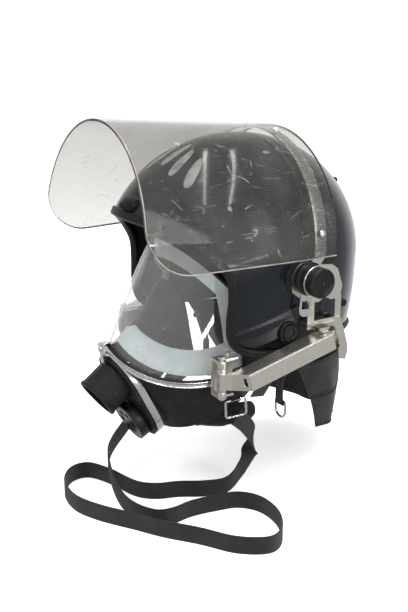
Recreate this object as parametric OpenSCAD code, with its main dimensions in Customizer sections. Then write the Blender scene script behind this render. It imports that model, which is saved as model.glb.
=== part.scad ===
// Riot and fire helmet with a raised visor and a full face respirator carried on two side rails.
// Frame: origin on the visor pivot axis in the plane of symmetry, -Y is the face side,
// +X is the wearer's left, +Z is up. Millimetres.

/* [Shell] */
// Half width of the shell at its widest
shell_a = 118; // [116:1:119]
// Half length of the shell
shell_b = 155; // [153:1:157]
// Height of the crown above the pivot axis
shell_top = 138; // [136:1:139]
// Wall of the shell
shell_wall = 4; // [3:0.5:5]

/* [Visor] */
// Radius of the visor's outer face
visor_r = 129; // [128.5:0.5:130]
// Thickness of the visor sheet
visor_wall = 2.5; // [2:0.1:2.8]
// Reach of the visor in front of the pivot
visor_front = 192; // [188:1:196]
// Upward tilt of the raised visor
visor_tilt = 5.5; // [5:0.1:6]
// Half width of the visor at its front
visor_nose = 114; // [112:1:118]
// Travel of the visor on its slotted arms
visor_lift = 27; // [26:0.5:28]

/* [Knobs] */
// Radius of the clamping knob
knob_r = 16; // [14:0.5:18]
// Outer face of the knob from the plane of symmetry
knob_face = 151; // [149:1:153]

/* [Mask] */
// Radius of the hole in the air nozzle, for a 40 mm round thread
nozzle_bore = 20; // [19:0.1:20.5]
// Outer radius of the air nozzle
nozzle_r = 24; // [23.5:0.5:25]
// Depth of the threaded hole
nozzle_depth = 25; // [20:1:27]
// Thickness of the clear lens
lens_wall = 2.5; // [2:0.1:3]

/* [Rails] */
// Length of each side rail
rail_len = 127; // [125:1:129]
// Width of each rail
rail_w = 19; // [18:0.5:19.5]
// Height of each rail
rail_h = 20; // [19:0.5:20.5]
// Wall of each rail
rail_wall = 1.5; // [1:0.1:2]

/* [Strap] */
// Width of the carrying strap
strap_w = 20; // [18:1:20]
// Thickness of the carrying strap
strap_t = 1.6; // [1.4:0.1:2]

/* [Hidden] */
$fn = 48;

running = 0.05;      // radial clearance of a running fit
gap = 0.4;           // clearance between pieces that only pass each other
stud_r = 3;          // visor pivot stud
shell_low = 260;     // lower half axis of the shell's form
shell_y = -10;       // the shell's centre along Y
visor_z = 18;        // centre of the visor's arch above the pivot axis
visor_rear = 33;     // reach of the visor behind the pivot
visor_low = 5;       // lower edge of the visor's sides at the front
visor_slope = 0.082; // rise of that edge for each millimetre towards the rear
band_in = visor_r - visor_wall - 1.8;   // inner face of the visor band
band_out = visor_r - visor_wall - 0.2;  // outer face of the visor band
rail_from = [123.6, -97, -103.4];       // point on the rail's centre line at its front
rail_turn = [16, 0, -5.6];              // pitch and yaw of the rail
slant_in = 6;                           // where the rail's inner face starts
slant_out = 20.5;                       // where its outer face starts
hinge_at = [106.6, -96];                // rail hinge pin, seen from above
port_at = [0, -151, -143];              // centre of the oval port's front plane
port_turn = 117;
nozzle_at = [0, -189.5, -138];          // centre of the nozzle's rim
nozzle_turn = 126;
floor_z = -250;                         // surface on which the strap lies

// ---- helpers --------------------------------------------------------------

function unit(v) = v / norm(v);
function mix(a, b, t) = a + (b - a) * t;
function ramp(x0, x1, x) = max(0, min(1, (x - x0) / (x1 - x0)));

// Smooth curve through points p, m steps for each span
function curve(p, m) = [
    for (i = [0 : len(p) - 2], k = [0 : m - 1])
        let (t = k / m,
             p0 = p[max(i - 1, 0)], p1 = p[i], p2 = p[i + 1], p3 = p[min(i + 2, len(p) - 1)])
        0.5 * (2 * p1 + (p2 - p0) * t + (2 * p0 - 5 * p1 + 4 * p2 - p3) * t * t
            + (3 * p1 - 3 * p2 + p3 - p0) * t * t * t),
    p[len(p) - 1]];

// Flat list of the points of a list of rings
function flat(rings) = [for (r = rings, q = r) q];

// Solid through rings of equal count; open ends are capped
module loft(rings, closed = false) {
    n = len(rings[0]);
    m = len(rings);
    last = closed ? m - 1 : m - 2;
    sides = [for (i = [0 : last], j = [0 : n - 1], h = [0, 1])
        let (a = i * n + j, b = i * n + (j + 1) % n,
             c = ((i + 1) % m) * n + (j + 1) % n, d = ((i + 1) % m) * n + j)
        h == 0 ? [a, c, b] : [a, d, c]];
    caps = closed ? [] : concat(
        [for (j = [1 : n - 2]) [0, j, j + 1]],
        [for (j = [1 : n - 2]) [(m - 1) * n, (m - 1) * n + j + 1, (m - 1) * n + j]]);
    polyhedron(concat(flat(rings)), concat(sides, caps), convexity = 8);
}

// Ring of a swept section: f = [point, tangent, outward], section = [[out, side], ...]
function section_ring(p, t, o, section) =
    let (o1 = unit(o - (o * t) * t), s = cross(t, o1))
    [for (q = section) p + q[0] * o1 + q[1] * s];

function tangent_at(p, i, closed) =
    let (n = len(p))
    unit(closed ? p[(i + 1) % n] - p[(i + n - 1) % n] : p[min(i + 1, n - 1)] - p[max(i - 1, 0)]);

// Sweep of a section along points; outs gives the outward direction at each
module sweep(points, outs, section, closed = false) {
    loft([for (i = [0 : len(points) - 1])
        section_ring(points[i], tangent_at(points, i, closed), outs[i], section)], closed);
}

// Skin between an outer and an inner grid of points, rows x columns
module skin(outer, inner, wrap = false) {
    m = len(outer);
    n = len(outer[0]);
    k = m * n;
    last = wrap ? n - 1 : n - 2;
    faces = concat(
        [for (i = [0 : m - 2], j = [0 : last], h = [0, 1])
            let (a = i * n + j, b = i * n + (j + 1) % n, c = a + n, d = (i + 1) * n + (j + 1) % n)
            h == 0 ? [a, b, d] : [a, d, c]],
        [for (i = [0 : m - 2], j = [0 : last], h = [0, 1])
            let (a = k + i * n + j, b = k + i * n + (j + 1) % n, c = a + n, d = k + (i + 1) * n + (j + 1) % n)
            h == 0 ? [a, d, b] : [a, c, d]],
        [for (i = [0, m - 1], j = [0 : last], h = [0, 1])
            let (a = i * n + j, b = i * n + (j + 1) % n, s = i == 0)
            h == 0 ? (s ? [a, b + k, b] : [a, b, b + k]) : (s ? [a, a + k, b + k] : [a, b + k, a + k])],
        wrap ? [] : [for (j = [0, n - 1], i = [0 : m - 2], h = [0, 1])
            let (a = i * n + j, b = a + n, s = j == 0)
            h == 0 ? (s ? [a, b, b + k] : [a, b + k, b]) : (s ? [a, b + k, a + k] : [a, a + k, b + k])]);
    polyhedron(concat(flat(outer), flat(inner)), faces, convexity = 8);
}

// Both sides of the helmet
module pair() {
    children();
    mirror([1, 0, 0]) children();
}

// Cylinder along X from x0 to x1
module disc_x(x0, x1, r) {
    translate([x0, 0, 0]) rotate([0, 90, 0]) cylinder(h = x1 - x0, r = r);
}

module at_visor() { rotate([-visor_tilt, 0, 0]) children(); }
module at_rail() { translate(rail_from) rotate(rail_turn) children(); }
module at_port() { translate(port_at) rotate([port_turn, 0, 0]) children(); }
module at_nozzle() { translate(nozzle_at) rotate([nozzle_turn, 0, 0]) children(); }

// Flat oval with round ends, r wide on each side and half tall
module stadium(r, half) {
    for (s = [-1, 1]) translate([0, s * (half - r)]) circle(r);
    square([2 * r, 2 * (half - r)], center = true);
}

// ---- helmet ---------------------------------------------------------------

// Point of the shell's form in direction d, moved out by g
function shell_point(d, g) =
    let (c = (d[2] > 0 ? shell_top : shell_low) + g, a = shell_a + g, b = shell_b + g,
         k = 1 / sqrt(pow(d[0] / a, 2) + pow(d[1] / b, 2) + pow(d[2] / c, 2)))
    [d[0] * k, d[1] * k + shell_y, d[2] * k];

// Rim of one half, from the brow down the face edge and back to the nape
rim_half = [[0, -153, 64], [46, -142, 60], [73, -123, 50], [92, -102, 33], [103, -84, 9], [106, -82, -16],
    [108, -86, -44], [109, -85, -66], [111, -74, -79], [113, -50, -84], [115, -8, -87], [110, 48, -89],
    [86, 98, -91], [46, 127, -93], [0, 137, -94]];
rim_steps = 2;
rim_side = curve(rim_half, rim_steps);
rim = concat(rim_side,
    [for (i = [len(rim_side) - 2 : -1 : 1]) [-rim_side[i][0], rim_side[i][1], rim_side[i][2]]]);
crown_pole = [0, 0.6, 0.8];

// Point at t between the crown pole and rim point q, along the great circle
function dome_point(q, t, g) =
    let (d = unit([q[0], q[1] - shell_y, q[2]]), w = acos(crown_pole * d))
    shell_point((sin((1 - t) * w) * crown_pole + sin(t * w) * d) / sin(w), g);

module dome(rows, t0, t1, g_out, g_in, path) {
    outer = [for (i = [0 : rows]) [for (q = path) dome_point(q, mix(t0, t1, i / rows), g_out)]];
    inner = [for (i = [0 : rows]) [for (q = path) dome_point(q, mix(t0, t1, i / rows), g_in)]];
    n = len(path);
    k = (rows + 1) * n;
    faces = concat(
        [for (i = [0 : rows - 1], j = [0 : n - 1], h = [0, 1])
            let (a = i * n + j, b = i * n + (j + 1) % n, c = a + n, d = (i + 1) * n + (j + 1) % n)
            h == 0 ? [a, b, d] : [a, d, c]],
        [for (i = [0 : rows - 1], j = [0 : n - 1], h = [0, 1])
            let (a = k + i * n + j, b = k + i * n + (j + 1) % n, c = a + n, d = k + (i + 1) * n + (j + 1) % n)
            h == 0 ? [a, d, b] : [a, c, d]],
        [for (j = [0 : n - 1], h = [0, 1])
            let (a = rows * n + j, b = rows * n + (j + 1) % n)
            h == 0 ? [a, b + k, a + k] : [a, b, b + k]],
        [for (j = [0 : n - 1]) [2 * k, (j + 1) % n, j]],
        [for (j = [0 : n - 1]) [2 * k + 1, k + j, k + (j + 1) % n]]);
    tips = [shell_point(crown_pole, g_out), shell_point(crown_pole, g_in)];
    polyhedron(concat(flat(outer), flat(inner), tips), faces, convexity = 8);
}

module helmet_shell() {
    color([0.05, 0.06, 0.1]) dome(12, 0.08, 1, 0, -shell_wall, rim);
}

module shell_edge_trim() {
    section = [[4.5, -3], [4.5, 3], [2, 5], [-2, 5], [-4.5, 3], [-4.5, -3], [-2, -5], [2, -5]];
    mid = [for (q = rim) dome_point(q, 1, -shell_wall / 2)];
    color([0.05, 0.05, 0.05]) sweep(mid, [for (q = mid) q - [0, shell_y, 0]], section, true);
}

module impact_liner() {
    color([0.16, 0.16, 0.17]) dome(7, 0.12, 0.84, -5, -17,
        [for (i = [0 : 2 : len(rim) - 1]) rim[i]]);
}

headband_z = 42;
module headband_outline(g) {
    polygon([for (a = [0 : 7.5 : 352.5]) [(80 + g) * cos(a), shell_y + (94 + g) * sin(a)]]);
}

module headband() {
    color([0.1, 0.1, 0.1]) translate([0, 0, headband_z]) linear_extrude(26) difference() {
        headband_outline(0);
        headband_outline(-2.5);
    }
}

// Three webbing straps over the crown, inside the liner
module crown_straps() {
    section = [[0.8, -9], [0.8, 9], [-0.8, 9], [-0.8, -9]];
    for (k = [0 : 2]) {
        turn = 30 + 60 * k;
        path = [for (a = [-68 : 8.5 : 68])
            let (d = [sin(a) * cos(turn), sin(a) * sin(turn), cos(a)]) shell_point(d, -20.6 - 2.4 * k)];
        color([0.2, 0.2, 0.21]) sweep(path, [for (q = path) q - [0, shell_y, 0]], section);
    }
}

dial_at = [0, 84, 36];
module dial_housing() {
    color([0.1, 0.1, 0.1]) difference() {
        translate(dial_at) rotate([-90, 0, 0]) union() {
            cylinder(h = 5, r = 19);
            translate([-14, -30, 0]) cube([28, 20, 3]);
        }
        translate([0, 80, dial_at[2]]) rotate([-90, 0, 0]) cylinder(h = 12, r = 3 + running);
    }
}

module headband_dial() {
    color([0.08, 0.08, 0.08]) translate(dial_at + [0, 5.4, 0]) rotate([-90, 0, 0]) {
        difference() {
            cylinder(h = 9, r = 21);
            for (a = [0 : 30 : 330]) rotate(a) translate([22, 0, -1]) cylinder(h = 11, r = 3, $fn = 24);
        }
        translate([0, 0, -5.4]) cylinder(h = 5.4, r = 3);
    }
}

// Small catch over the middle of the brow
module brow_beak() {
    color([0.05, 0.05, 0.05]) intersection() {
        translate([-16, 0, 0]) rotate([90, 0, 90]) linear_extrude(32)
            polygon([[-141, 69], [-151, 69], [-154, 71.5], [-153, 75], [-138, 83], [-134, 79]]);
        // seen from above it narrows to a blunt point
        translate([0, 0, 60]) linear_extrude(30)
            polygon([[-16, -133], [16, -133], [14, -140], [3.5, -155], [-3.5, -155], [-14, -140]]);
    }
}

module rear_hook() {
    color([0.05, 0.05, 0.05]) translate([-9, 0, 0]) rotate([90, 0, 90]) linear_extrude(18)
        polygon([[129, 57], [134, 56], [136, 60], [133, 68], [136, 71], [134, 75], [126, 77], [118.5, 75],
            [124.5, 66]]);
}

// Black round bosses on the cheeks, where an ear cover would plug in
module side_bosses() {
    color([0.05, 0.05, 0.05]) pair() {
        translate([0, -15, -61]) difference() {
            union() {
                disc_x(111, 116.5, 13);
                disc_x(116, 118.2, 9.5);
            }
            disc_x(116.6, 119, 5.5);
        }
        translate([0, 76, -48]) disc_x(91, 97.5, 4.5);
    }
}

// Plain reflective bars on the front of the crown
module reflective_marks() {
    for (k = [-2 : 2]) {
        tilt = 50 - 4 * abs(k);
        outer = [for (i = [0 : 5]) [for (j = [0 : 2])
            let (e = tilt + 3.4 * i, a = 14 * k + 2.4 * (j - 1) * (1 + 0.5 * sin(36 * i)) )
            shell_point([sin(a) * cos(e), -cos(a) * cos(e), sin(e)], 0.6)]];
        inner = [for (r = outer) [for (q = r) q - 0.5 * unit(q - [0, shell_y, 0])]];
        color([0.75, 0.76, 0.76]) skin(inner, outer);
    }
}

// Leather neck curtain: b is the angle from the nape
function curtain_top(b) = [105 * sin(b), 2 + 121 * cos(b), -86 - 5 * cos(b)];
function curtain_low(b) = [84 * sin(b), 30 + 98 * cos(b), -197 - 20 * cos(b)];
function curtain_point(b, s) =
    let (c = b * (1 - curtain_taper * s))
    mix(curtain_top(c), curtain_low(c), s) + 5 * sin(180 * s) * [sin(c), cos(c), 0];
curtain_taper = 0.2;   // share of its width that the curtain loses towards the bottom
roll_at = 0.19;        // height of the piping on the curtain, as a share from the top
roll_r = 3.4;

module neck_curtain() {
    outer = [for (s = [0 : 0.2 : 1]) [for (b = [-94 : 9.4 : 94.1]) curtain_point(b, s)]];
    inner = [for (s = [0 : 0.2 : 1]) [for (b = [-94 : 9.4 : 94.1])
        curtain_point(b, s) - 4 * [sin(b), cos(b), 0]]];
    color([0.14, 0.14, 0.14]) skin(inner, outer);
}

module curtain_piping() {
    section = [for (a = [0 : 45 : 315]) roll_r * [cos(a), sin(a)]];
    path = [for (b = [-94 : 9.4 : 94.1]) curtain_point(b, roll_at) + (roll_r + gap) * [sin(b), cos(b), 0]];
    color([0.1, 0.1, 0.1]) sweep(path, [for (q = path) [0, 0, 1]], section);
}

// Padded chin cup under the jaw and the two straps that hold it
function pad_mid(g) = [70 * sin(g), -24 - 66 * cos(g), -160 - 12 * cos(g)];

module chin_pad() {
    section = [[5, -10], [6, 0], [5, 10], [0, 16], [-5, 10], [-6, 0], [-5, -10], [0, -16]];
    path = [for (g = [-88 : 11 : 88.1]) pad_mid(g)];
    color([0.05, 0.05, 0.05]) sweep(path, [for (g = [-88 : 11 : 88.1]) [sin(g), -cos(g), 0]], section);
}

module chin_straps() {
    section = [[0.9, -9], [0.9, 9], [-0.9, 9], [-0.9, -9]];
    path = curve([[71, -24, -148], [83, -22, -128], [94, -20, -105], [103, -20, -84]], 3);
    color([0.08, 0.08, 0.08]) pair() sweep(path, [for (q = path) [0.9, 0, 0.4]], section);
}

ring_at = [76, 6, -160];
// Loops that the D-rings hang in
module ring_tabs() {
    color([0.07, 0.07, 0.07]) pair() translate(ring_at) {
        difference() {
            union() {
                disc_x(-6, 6, 3.6);
                // the upper length leans outwards and is sewn to the curtain's inner face
                translate([0, -0.6, 0]) rotate([90, 0, 0]) linear_extrude(3)
                    polygon([[-6, 0], [6, 0], [6, 27], [27.3, 59.9], [17.3, 66.5], [-6, 30.6]]);
            }
            disc_x(-7, 7, 1.9);
            translate([-7, -0.6, 0]) cube([14, 8, 8]);
        }
    }
}

module d_ring() {
    translate(ring_at) color([0.6, 0.6, 0.58]) {
        disc_x(-9, 9, 1.4);
        for (s = [-9, 9]) translate([s, 0, -9]) cylinder(h = 9, r = 1.4);
        translate([0, 0, -9]) rotate([90, 0, 0]) rotate_extrude(angle = -180)
            translate([9, 0]) circle(1.4, $fn = 24);
    }
}
module d_ring_left() { d_ring(); }
module d_ring_right() { mirror([1, 0, 0]) d_ring(); }

// ---- visor pivots ---------------------------------------------------------

module pivot_bosses() {
    color([0.05, 0.05, 0.05]) pair() difference() {
        disc_x(113.6, 119.6, 23);
        disc_x(112, 121, stud_r);
    }
}

module pivot_studs() {
    color([0.7, 0.69, 0.66]) pair()
        disc_x(113.6, knob_face - 4, stud_r);
}

plate_x = 119.8;   // inner face of the fixed bracket
plate_t = 2;

// Outline of the fixed bracket in Y, Z: a plate behind the pivot, a finger and two prongs
module bracket_outline() {
    difference() {
        union() {
            circle(17);
            polygon([[0, 14], [36, 9], [44, 3], [51, -17], [48, -30], [4, -30], [-6, -12]]);
            translate([4, -60]) square([9, 34]);
            translate([41.5, -60]) square([8.5, 34]);
            translate([4, -60]) square([46, 9]);
            // finger that points forward
            translate([2, -24]) rotate(140) translate([0, -4.5]) square([20, 9]);
            translate([2, -24]) rotate(140) translate([20, 0]) circle(4.5);
        }
        // opening between the prongs, with a round top
        translate([27.2, -38]) circle(11);
        translate([16.2, -47]) square([22, 9]);
    }
}

module pivot_bracket() {
    color([0.72, 0.7, 0.64]) {
        difference() {
            translate([plate_x, 0, 0]) rotate([90, 0, 90]) linear_extrude(plate_t) bracket_outline();
            disc_x(plate_x - 1, plate_x + 5, stud_r + running);
        }
        // shelf that stands out over the striker
        translate([plate_x + 1, 7, -56]) cube([18, 14, 2.6]);
        translate([plate_x + 1, 12, -60]) cube([3.5, 38, 5]);
    }
}
module pivot_bracket_left() { pivot_bracket(); }
module pivot_bracket_right() { mirror([1, 0, 0]) pivot_bracket(); }

module bracket_screws() {
    // position of each screw and how far in its spacer starts, on the shell
    color([0.75, 0.74, 0.7]) pair() for (p = [[8.5, -55.5, 113], [45.8, -55.5, 106]])
        translate([0, p[0], p[1]]) {
            disc_x(p[2], plate_x, 4);
            disc_x(plate_x - 1, plate_x + plate_t + 0.2, 2.2);
            disc_x(plate_x + plate_t, plate_x + plate_t + 2, 4);
        }
}

// Round posts that the rails' forks drop over
striker = [-1, 121];   // in the rail's own X and Y
striker_r = 2.5;
module strikers() {
    color([0.75, 0.74, 0.7]) pair() at_rail() translate([striker[0], striker[1], 0]) {
        translate([0, 0, -12]) cylinder(h = 27.3, r = striker_r);
        translate([0, 0, 11]) cylinder(h = 2, r = 4);
    }
}

carrier_x = plate_x + plate_t + 0.4;
module hub_carriers() {
    color([0.5, 0.5, 0.5]) pair() at_visor() difference() {
        union() {
            disc_x(carrier_x, band_in - gap, 13);
            translate([band_in - 1, -4.7, -6]) cube([drum_x + 1 - band_in, 9.4, 12]);
        }
        disc_x(carrier_x - 1, band_out + 2, stud_r + running);
    }
}

drum_x = band_out + 0.5;
module hub_drums() {
    color([0.05, 0.05, 0.05]) pair() difference() {
        union() {
            disc_x(drum_x, drum_x + 2.5, 18);
            disc_x(drum_x + 1, 138, 16);
        }
        disc_x(drum_x - 2, 140, stud_r + running);
    }
}

knob_x = 138.5;
module knob() {
    difference() {
        union() {
            color([0.75, 0.75, 0.75]) disc_x(knob_x, knob_x + 1.6, knob_r + 1);
            color([0.05, 0.05, 0.05]) disc_x(knob_x + 1.2, knob_face, knob_r);
        }
        disc_x(knob_x - 1, knob_face - 3.6, stud_r + running);
        translate([knob_face + 36, 0, 0]) sphere(38, $fn = 96);
    }
}
module knob_left() { knob(); }
module knob_right() { mirror([1, 0, 0]) knob(); }

// ---- visor ----------------------------------------------------------------

// Arch seen along the visor: semicircle over straight sides
module arch(r, low) {
    intersection() {
        union() {
            translate([0, visor_z]) circle(r, $fn = 160);
            translate([-r, low - 1]) square([2 * r, visor_z - low + 1]);
        }
        translate([-r - 1, low]) square([2 * r + 2, 2 * r]);
    }
}

module arch_tube(r_out, r_in, low, y0, y1) {
    translate([0, y1, 0]) rotate([90, 0, 0]) linear_extrude(y1 - y0) difference() {
        arch(r_out, low);
        translate([0, -0.001]) arch(r_in, low - 5);
    }
}

visor_corner = 50;   // radius of the sheet's rounded front corners

// Height of the sheet's lower edge at y: a round front corner, then a slow rise to the rear
function visor_edge(y) =
    let (y0 = visor_corner - visor_front,
         z0 = visor_low + visor_slope * visor_corner + visor_corner * sqrt(1 + pow(visor_slope, 2)))
    y < y0 + visor_corner * sin(atan(visor_slope))
        ? z0 - sqrt(max(0, pow(visor_corner, 2) - pow(y - y0, 2)))
        : visor_low + visor_slope * (y + visor_front);

// Half width of the sheet at y
function visor_half(y) = mix(visor_r, visor_nose, ramp(-10, -visor_front, y));

// Point of the sheet at y, g inside its outer face; w runs from -1 to 1 between its lower edges
function visor_point(y, w, g) =
    let (low = visor_edge(y), degree = visor_r * PI / 180, quarter = 90 * degree,
         reach = low < visor_z ? quarter + visor_z - low : degree * acos((low - visor_z) / visor_r),
         d = w * reach, half = visor_half(y) - g)
    abs(d) < quarter ? [half * sin(d / degree), y, visor_z + (visor_r - g) * cos(d / degree)]
        : [sign(d) * half, y, visor_z + quarter - abs(d)];

module visor_sheet() {
    columns = concat([for (a = [0 : 10 : 90]) visor_corner * (1 - cos(a)) - visor_front],
        [for (k = [1 : 10]) mix(visor_corner - visor_front, visor_rear, k / 10)]);
    across = [-1 : 1 / 28 : 1.001];
    outer = [for (y = columns) [for (w = across) visor_point(y, w, 0)]];
    inner = [for (y = columns) [for (w = across) visor_point(y, w, visor_wall)]];
    color([0.75, 0.78, 0.8, 0.35]) at_visor() skin(inner, outer);
}

band_y = 5;          // front of the steel band on the visor
band_w = 15;
arm_w = 16;          // width of the slotted arm at the pivot
module visor_band() {
    color([0.78, 0.76, 0.71]) at_visor() {
        arch_tube(band_out, band_in, visor_z + 3, band_y, band_y + band_w);
        pair() difference() {
            translate([band_in, 0, 0]) rotate([90, 0, 90]) linear_extrude(band_out - band_in) union() {
                polygon([[band_y, visor_z + 5], [band_y + band_w, visor_z + 5], [arm_w / 2, 4],
                    [-arm_w / 2, 4]]);
                translate([-arm_w / 2, -visor_lift - 7]) square([arm_w, visor_lift + 13.1]);
                translate([0, -visor_lift - 7]) circle(arm_w / 2);
            }
            // the straight slot that rides on the hub's key
            translate([band_in - 1, -5, -visor_lift - 6.5]) cube([4, 10, visor_lift + 13]);
        }
    }
}

// Dome rivets that hold the sheet on its band
module visor_rivets() {
    color([0.8, 0.78, 0.74]) at_visor() for (a = [13, 77, 103, 167])
        translate([0, band_y + band_w / 2, visor_z]) rotate([0, -a, 0])
            rotate([0, 90, 0]) rotate_extrude() polygon(concat(
                [[0, band_in - 1], [1.6, band_in - 1], [1.6, visor_r + 0.2], [4, visor_r + 0.2]],
                [for (e = [15 : 15 : 90]) [4 * cos(e), visor_r + 0.2 + 2.4 * sin(e)]]));
}

// ---- mask -----------------------------------------------------------------

// Lower and upper edges of the lens; a is the angle round the face
function lens_low(a) = [87 * sin(a), -53 - 117 * cos(a), -79 - 30 * sin(1.45 * abs(a))];
function lens_high(a) = [72 * sin(a), -57 - 47 * cos(a), 32 - 51 * (1 - cos(a))];
function lens_out(a) = unit([sin(a), -cos(a), 0.35]);
function lens_point(a, v) =
    mix(lens_low(a), lens_high(a), v) + 1.5 * sin(180 * v) * [sin(a), -cos(a), 0];
lens_step = 7.5;

module mask_lens() {
    grid = [for (v = [0 : 0.2 : 1]) [for (a = [-90 : lens_step : 90]) lens_point(a, v)]];
    back = [for (v = [0 : 0.2 : 1]) [for (a = [-90 : lens_step : 90])
        lens_point(a, v) - lens_wall * lens_out(a)]];
    color([0.75, 0.78, 0.8, 0.35]) skin(back, grid);
}

// Closed edge of the lens, anticlockwise seen from the front
lens_loop = concat(
    [for (a = [-90 : lens_step : 90]) lens_point(a, 0)],
    [for (v = [0.2 : 0.2 : 0.8]) lens_point(90, v)],
    [for (a = [90 : -lens_step : -90]) lens_point(a, 1)],
    [for (v = [0.8 : -0.2 : 0.2]) lens_point(-90, v)]);
lens_mid = [0, -88, -34];

module lens_gasket() {
    section = [[2.6, -3.5], [2.6, 3.5], [-2, 3.5], [-2, -3.5]];
    color([0.05, 0.05, 0.05]) sweep([for (q = lens_loop) q + 0.02 * (q - lens_mid)],
        [for (q = lens_loop) q - lens_mid], section, true);
}

module clamp_band() {
    section = [[1.6, -3], [1.6, 3], [0, 3], [0, -3]];
    angles = [-96 : 6 : 96];
    path = [for (a = angles) lens_low(a) + [3.6 * sin(a), -3.6 * cos(a), -3]];
    color([0.78, 0.76, 0.71]) sweep(path, [for (a = angles) [sin(a), -cos(a), 0]], section);
}

module clamp_clip() {
    color([0.75, 0.74, 0.7]) {
        translate([-6, -181, -87]) cube([12, 6, 12]);
        translate([-3.5, -180.5, -95]) cube([7, 2, 10]);
        translate([0, -178, -75.4]) cylinder(h = 3.4, r = 2.6);
    }
}

// Rubber body of the mask below the lens
function body_low(a) = [70 * sin(a), -50 - 63 * cos(a), -150 - 35 * max(cos(a), -0.3)];
function body_point(a, s) =
    mix(lens_low(a) + [0, 0, -3], body_low(a), s) + 5 * sin(180 * s) * [sin(a), -cos(a), 0];
body_angles = [-104 : 8 : 104];

module mask_body() {
    outer = [for (s = [0 : 0.2 : 1]) [for (a = body_angles) body_point(a, s)]];
    inner = [for (s = [0 : 0.2 : 1]) [for (a = body_angles)
        body_point(a, s) - 3.5 * [sin(a), -cos(a), -0.3 * s]]];
    color([0.07, 0.07, 0.07]) difference() {
        skin(outer, inner);
        at_port() translate([0, 0, -40]) linear_extrude(60) stadium(30, 48);
    }
}

module face_seal() {
    rows = [0, 0.33, 0.67, 1];
    function seal(q, w) =
        mix(q, [0.42 * q[0], lens_mid[1], lens_mid[2]], 0.05 + 0.33 * w) + [0, 5 - 6 * w, 0];
    outer = [for (w = rows) [for (q = lens_loop) seal(q, w)]];
    inner = [for (w = rows) [for (q = lens_loop) seal(q, w) + [0, 2, 0]]];
    color([0.72, 0.74, 0.75]) skin(inner, outer, true);
}

function cup_ring(w, g) =
    let (c = mix([0, -136, -96], [0, -92, -66], w), rx = mix(22, 39, pow(w, 0.6)) - g,
         rz = mix(22, 50, pow(w, 0.7)) - g)
    [for (a = [0 : 15 : 345]) c + [rx * cos(a), -8 * sin(a) * w, rz * sin(a)]];

module oronasal_cup() {
    rows = [0 : 0.2 : 1];
    color([0.12, 0.12, 0.13]) skin([for (w = rows) cup_ring(w, 0)], [for (w = rows) cup_ring(w, 2.5)], true);
}

// Inhalation check valves on the cheeks of the inner cup
module check_valves() {
    color([0.3, 0.3, 0.3]) pair() translate([32.5, -113, -80]) rotate([0, 90, -25]) {
        cylinder(h = 5, r = 11);
        translate([0, 0, 4]) cylinder(h = 2, r = 8);
    }
}

port_r = 36;
port_half = 56;
module port_housing() {
    color([0.06, 0.06, 0.06]) at_port() difference() {
        translate([0, 0, -22]) linear_extrude(23) stadium(port_r, port_half);
        // airway behind the face plate
        translate([0, 0, -23]) linear_extrude(20) stadium(port_r - 4, port_half - 4);
        translate([0, 27, -10]) cylinder(h = 12, r = 14);
        translate([0, -28, -10]) cylinder(h = 12, r = 14);
    }
}

module port_band() {
    color([0.78, 0.76, 0.71]) at_port() {
        translate([0, 0, -11]) linear_extrude(8) difference() {
            stadium(port_r + 1.2, port_half + 1.2);
            stadium(port_r + 0.02, port_half + 0.02);
        }
        translate([-4, -port_half - 7, -11]) cube([8, 6, 8]);
    }
}

module air_nozzle() {
    color([0.06, 0.06, 0.06]) intersection() {
        at_nozzle() difference() {
            union() {
                translate([0, 0, -34]) cylinder(h = 34, r = nozzle_r, $fn = 96);
                translate([0, 0, -4]) cylinder(h = 4, r = nozzle_r + 1, $fn = 96);
            }
            translate([0, 0, -nozzle_depth]) cylinder(h = nozzle_depth + 1, r = nozzle_bore, $fn = 96);
            translate([0, 0, -45]) cylinder(h = 40, r = 12);
        }
        at_port() translate([-50, -40, 1.02]) cube([100, 100, 60]);
    }
}

valve_y = -28;
module exhale_seat() {
    color([0.2, 0.2, 0.2]) at_port() translate([0, valve_y, 1.05]) difference() {
        cylinder(h = 2.5, r = 21);
        translate([0, 0, -1]) cylinder(h = 5, r = 14);
    }
}

module exhale_disc() {
    color([0.35, 0.3, 0.28]) at_port() translate([0, valve_y, 3.85]) {
        cylinder(h = 1.2, r = 17);
        cylinder(h = 2.4, r = 3);
    }
}

module exhale_spring() {
    turns = 3;
    path = [for (k = [0 : 30 : 360 * turns]) [4.6 * cos(k), 4.6 * sin(k), 5.7 + k / 360 * 1.9]];
    color([0.7, 0.7, 0.7]) at_port() translate([0, valve_y, 0])
        sweep(path, [for (q = path) [q[0], q[1], 0]], [for (a = [0 : 72 : 288]) 0.4 * [cos(a), sin(a)]]);
}

module exhale_cover() {
    color([0.06, 0.06, 0.06]) at_port() translate([0, valve_y, 1.05]) difference() {
        cylinder(h = 13, r = 25);
        translate([0, 0, -1]) cylinder(h = 12, r = 22);
        for (a = [0 : 60 : 300]) rotate(a) translate([12, 0, 5]) cylinder(h = 10, r = 3.5);
        // flat side that clears the nozzle
        translate([-30, 19.5, -1]) cube([60, 20, 20]);
    }
}

// ---- rails and strap ------------------------------------------------------

knuckle_r = 5;
pin_r = 2.5;
module at_hinge(z) { translate([hinge_at[0], hinge_at[1], z]) children(); }

module mask_bracket() {
    color([0.74, 0.72, 0.67]) difference() {
        union() {
            at_hinge(-121) cylinder(h = 8, r = knuckle_r);
            at_hinge(-86.6) cylinder(h = 8, r = knuckle_r);
            translate([92, -100, -81.2]) cube([14, 26, 2.6]);
            translate([92, -100, -121]) cube([14, 20, 2.6]);
            translate([92, -100, -121]) cube([2.6, 26, 42]);
        }
        at_hinge(-130) cylinder(h = 60, r = pin_r + running);
        translate([98, -93, -85]) cube([3, 14, 10]);
    }
}
module mask_bracket_left() { mask_bracket(); }
module mask_bracket_right() { mirror([1, 0, 0]) mask_bracket(); }

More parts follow.
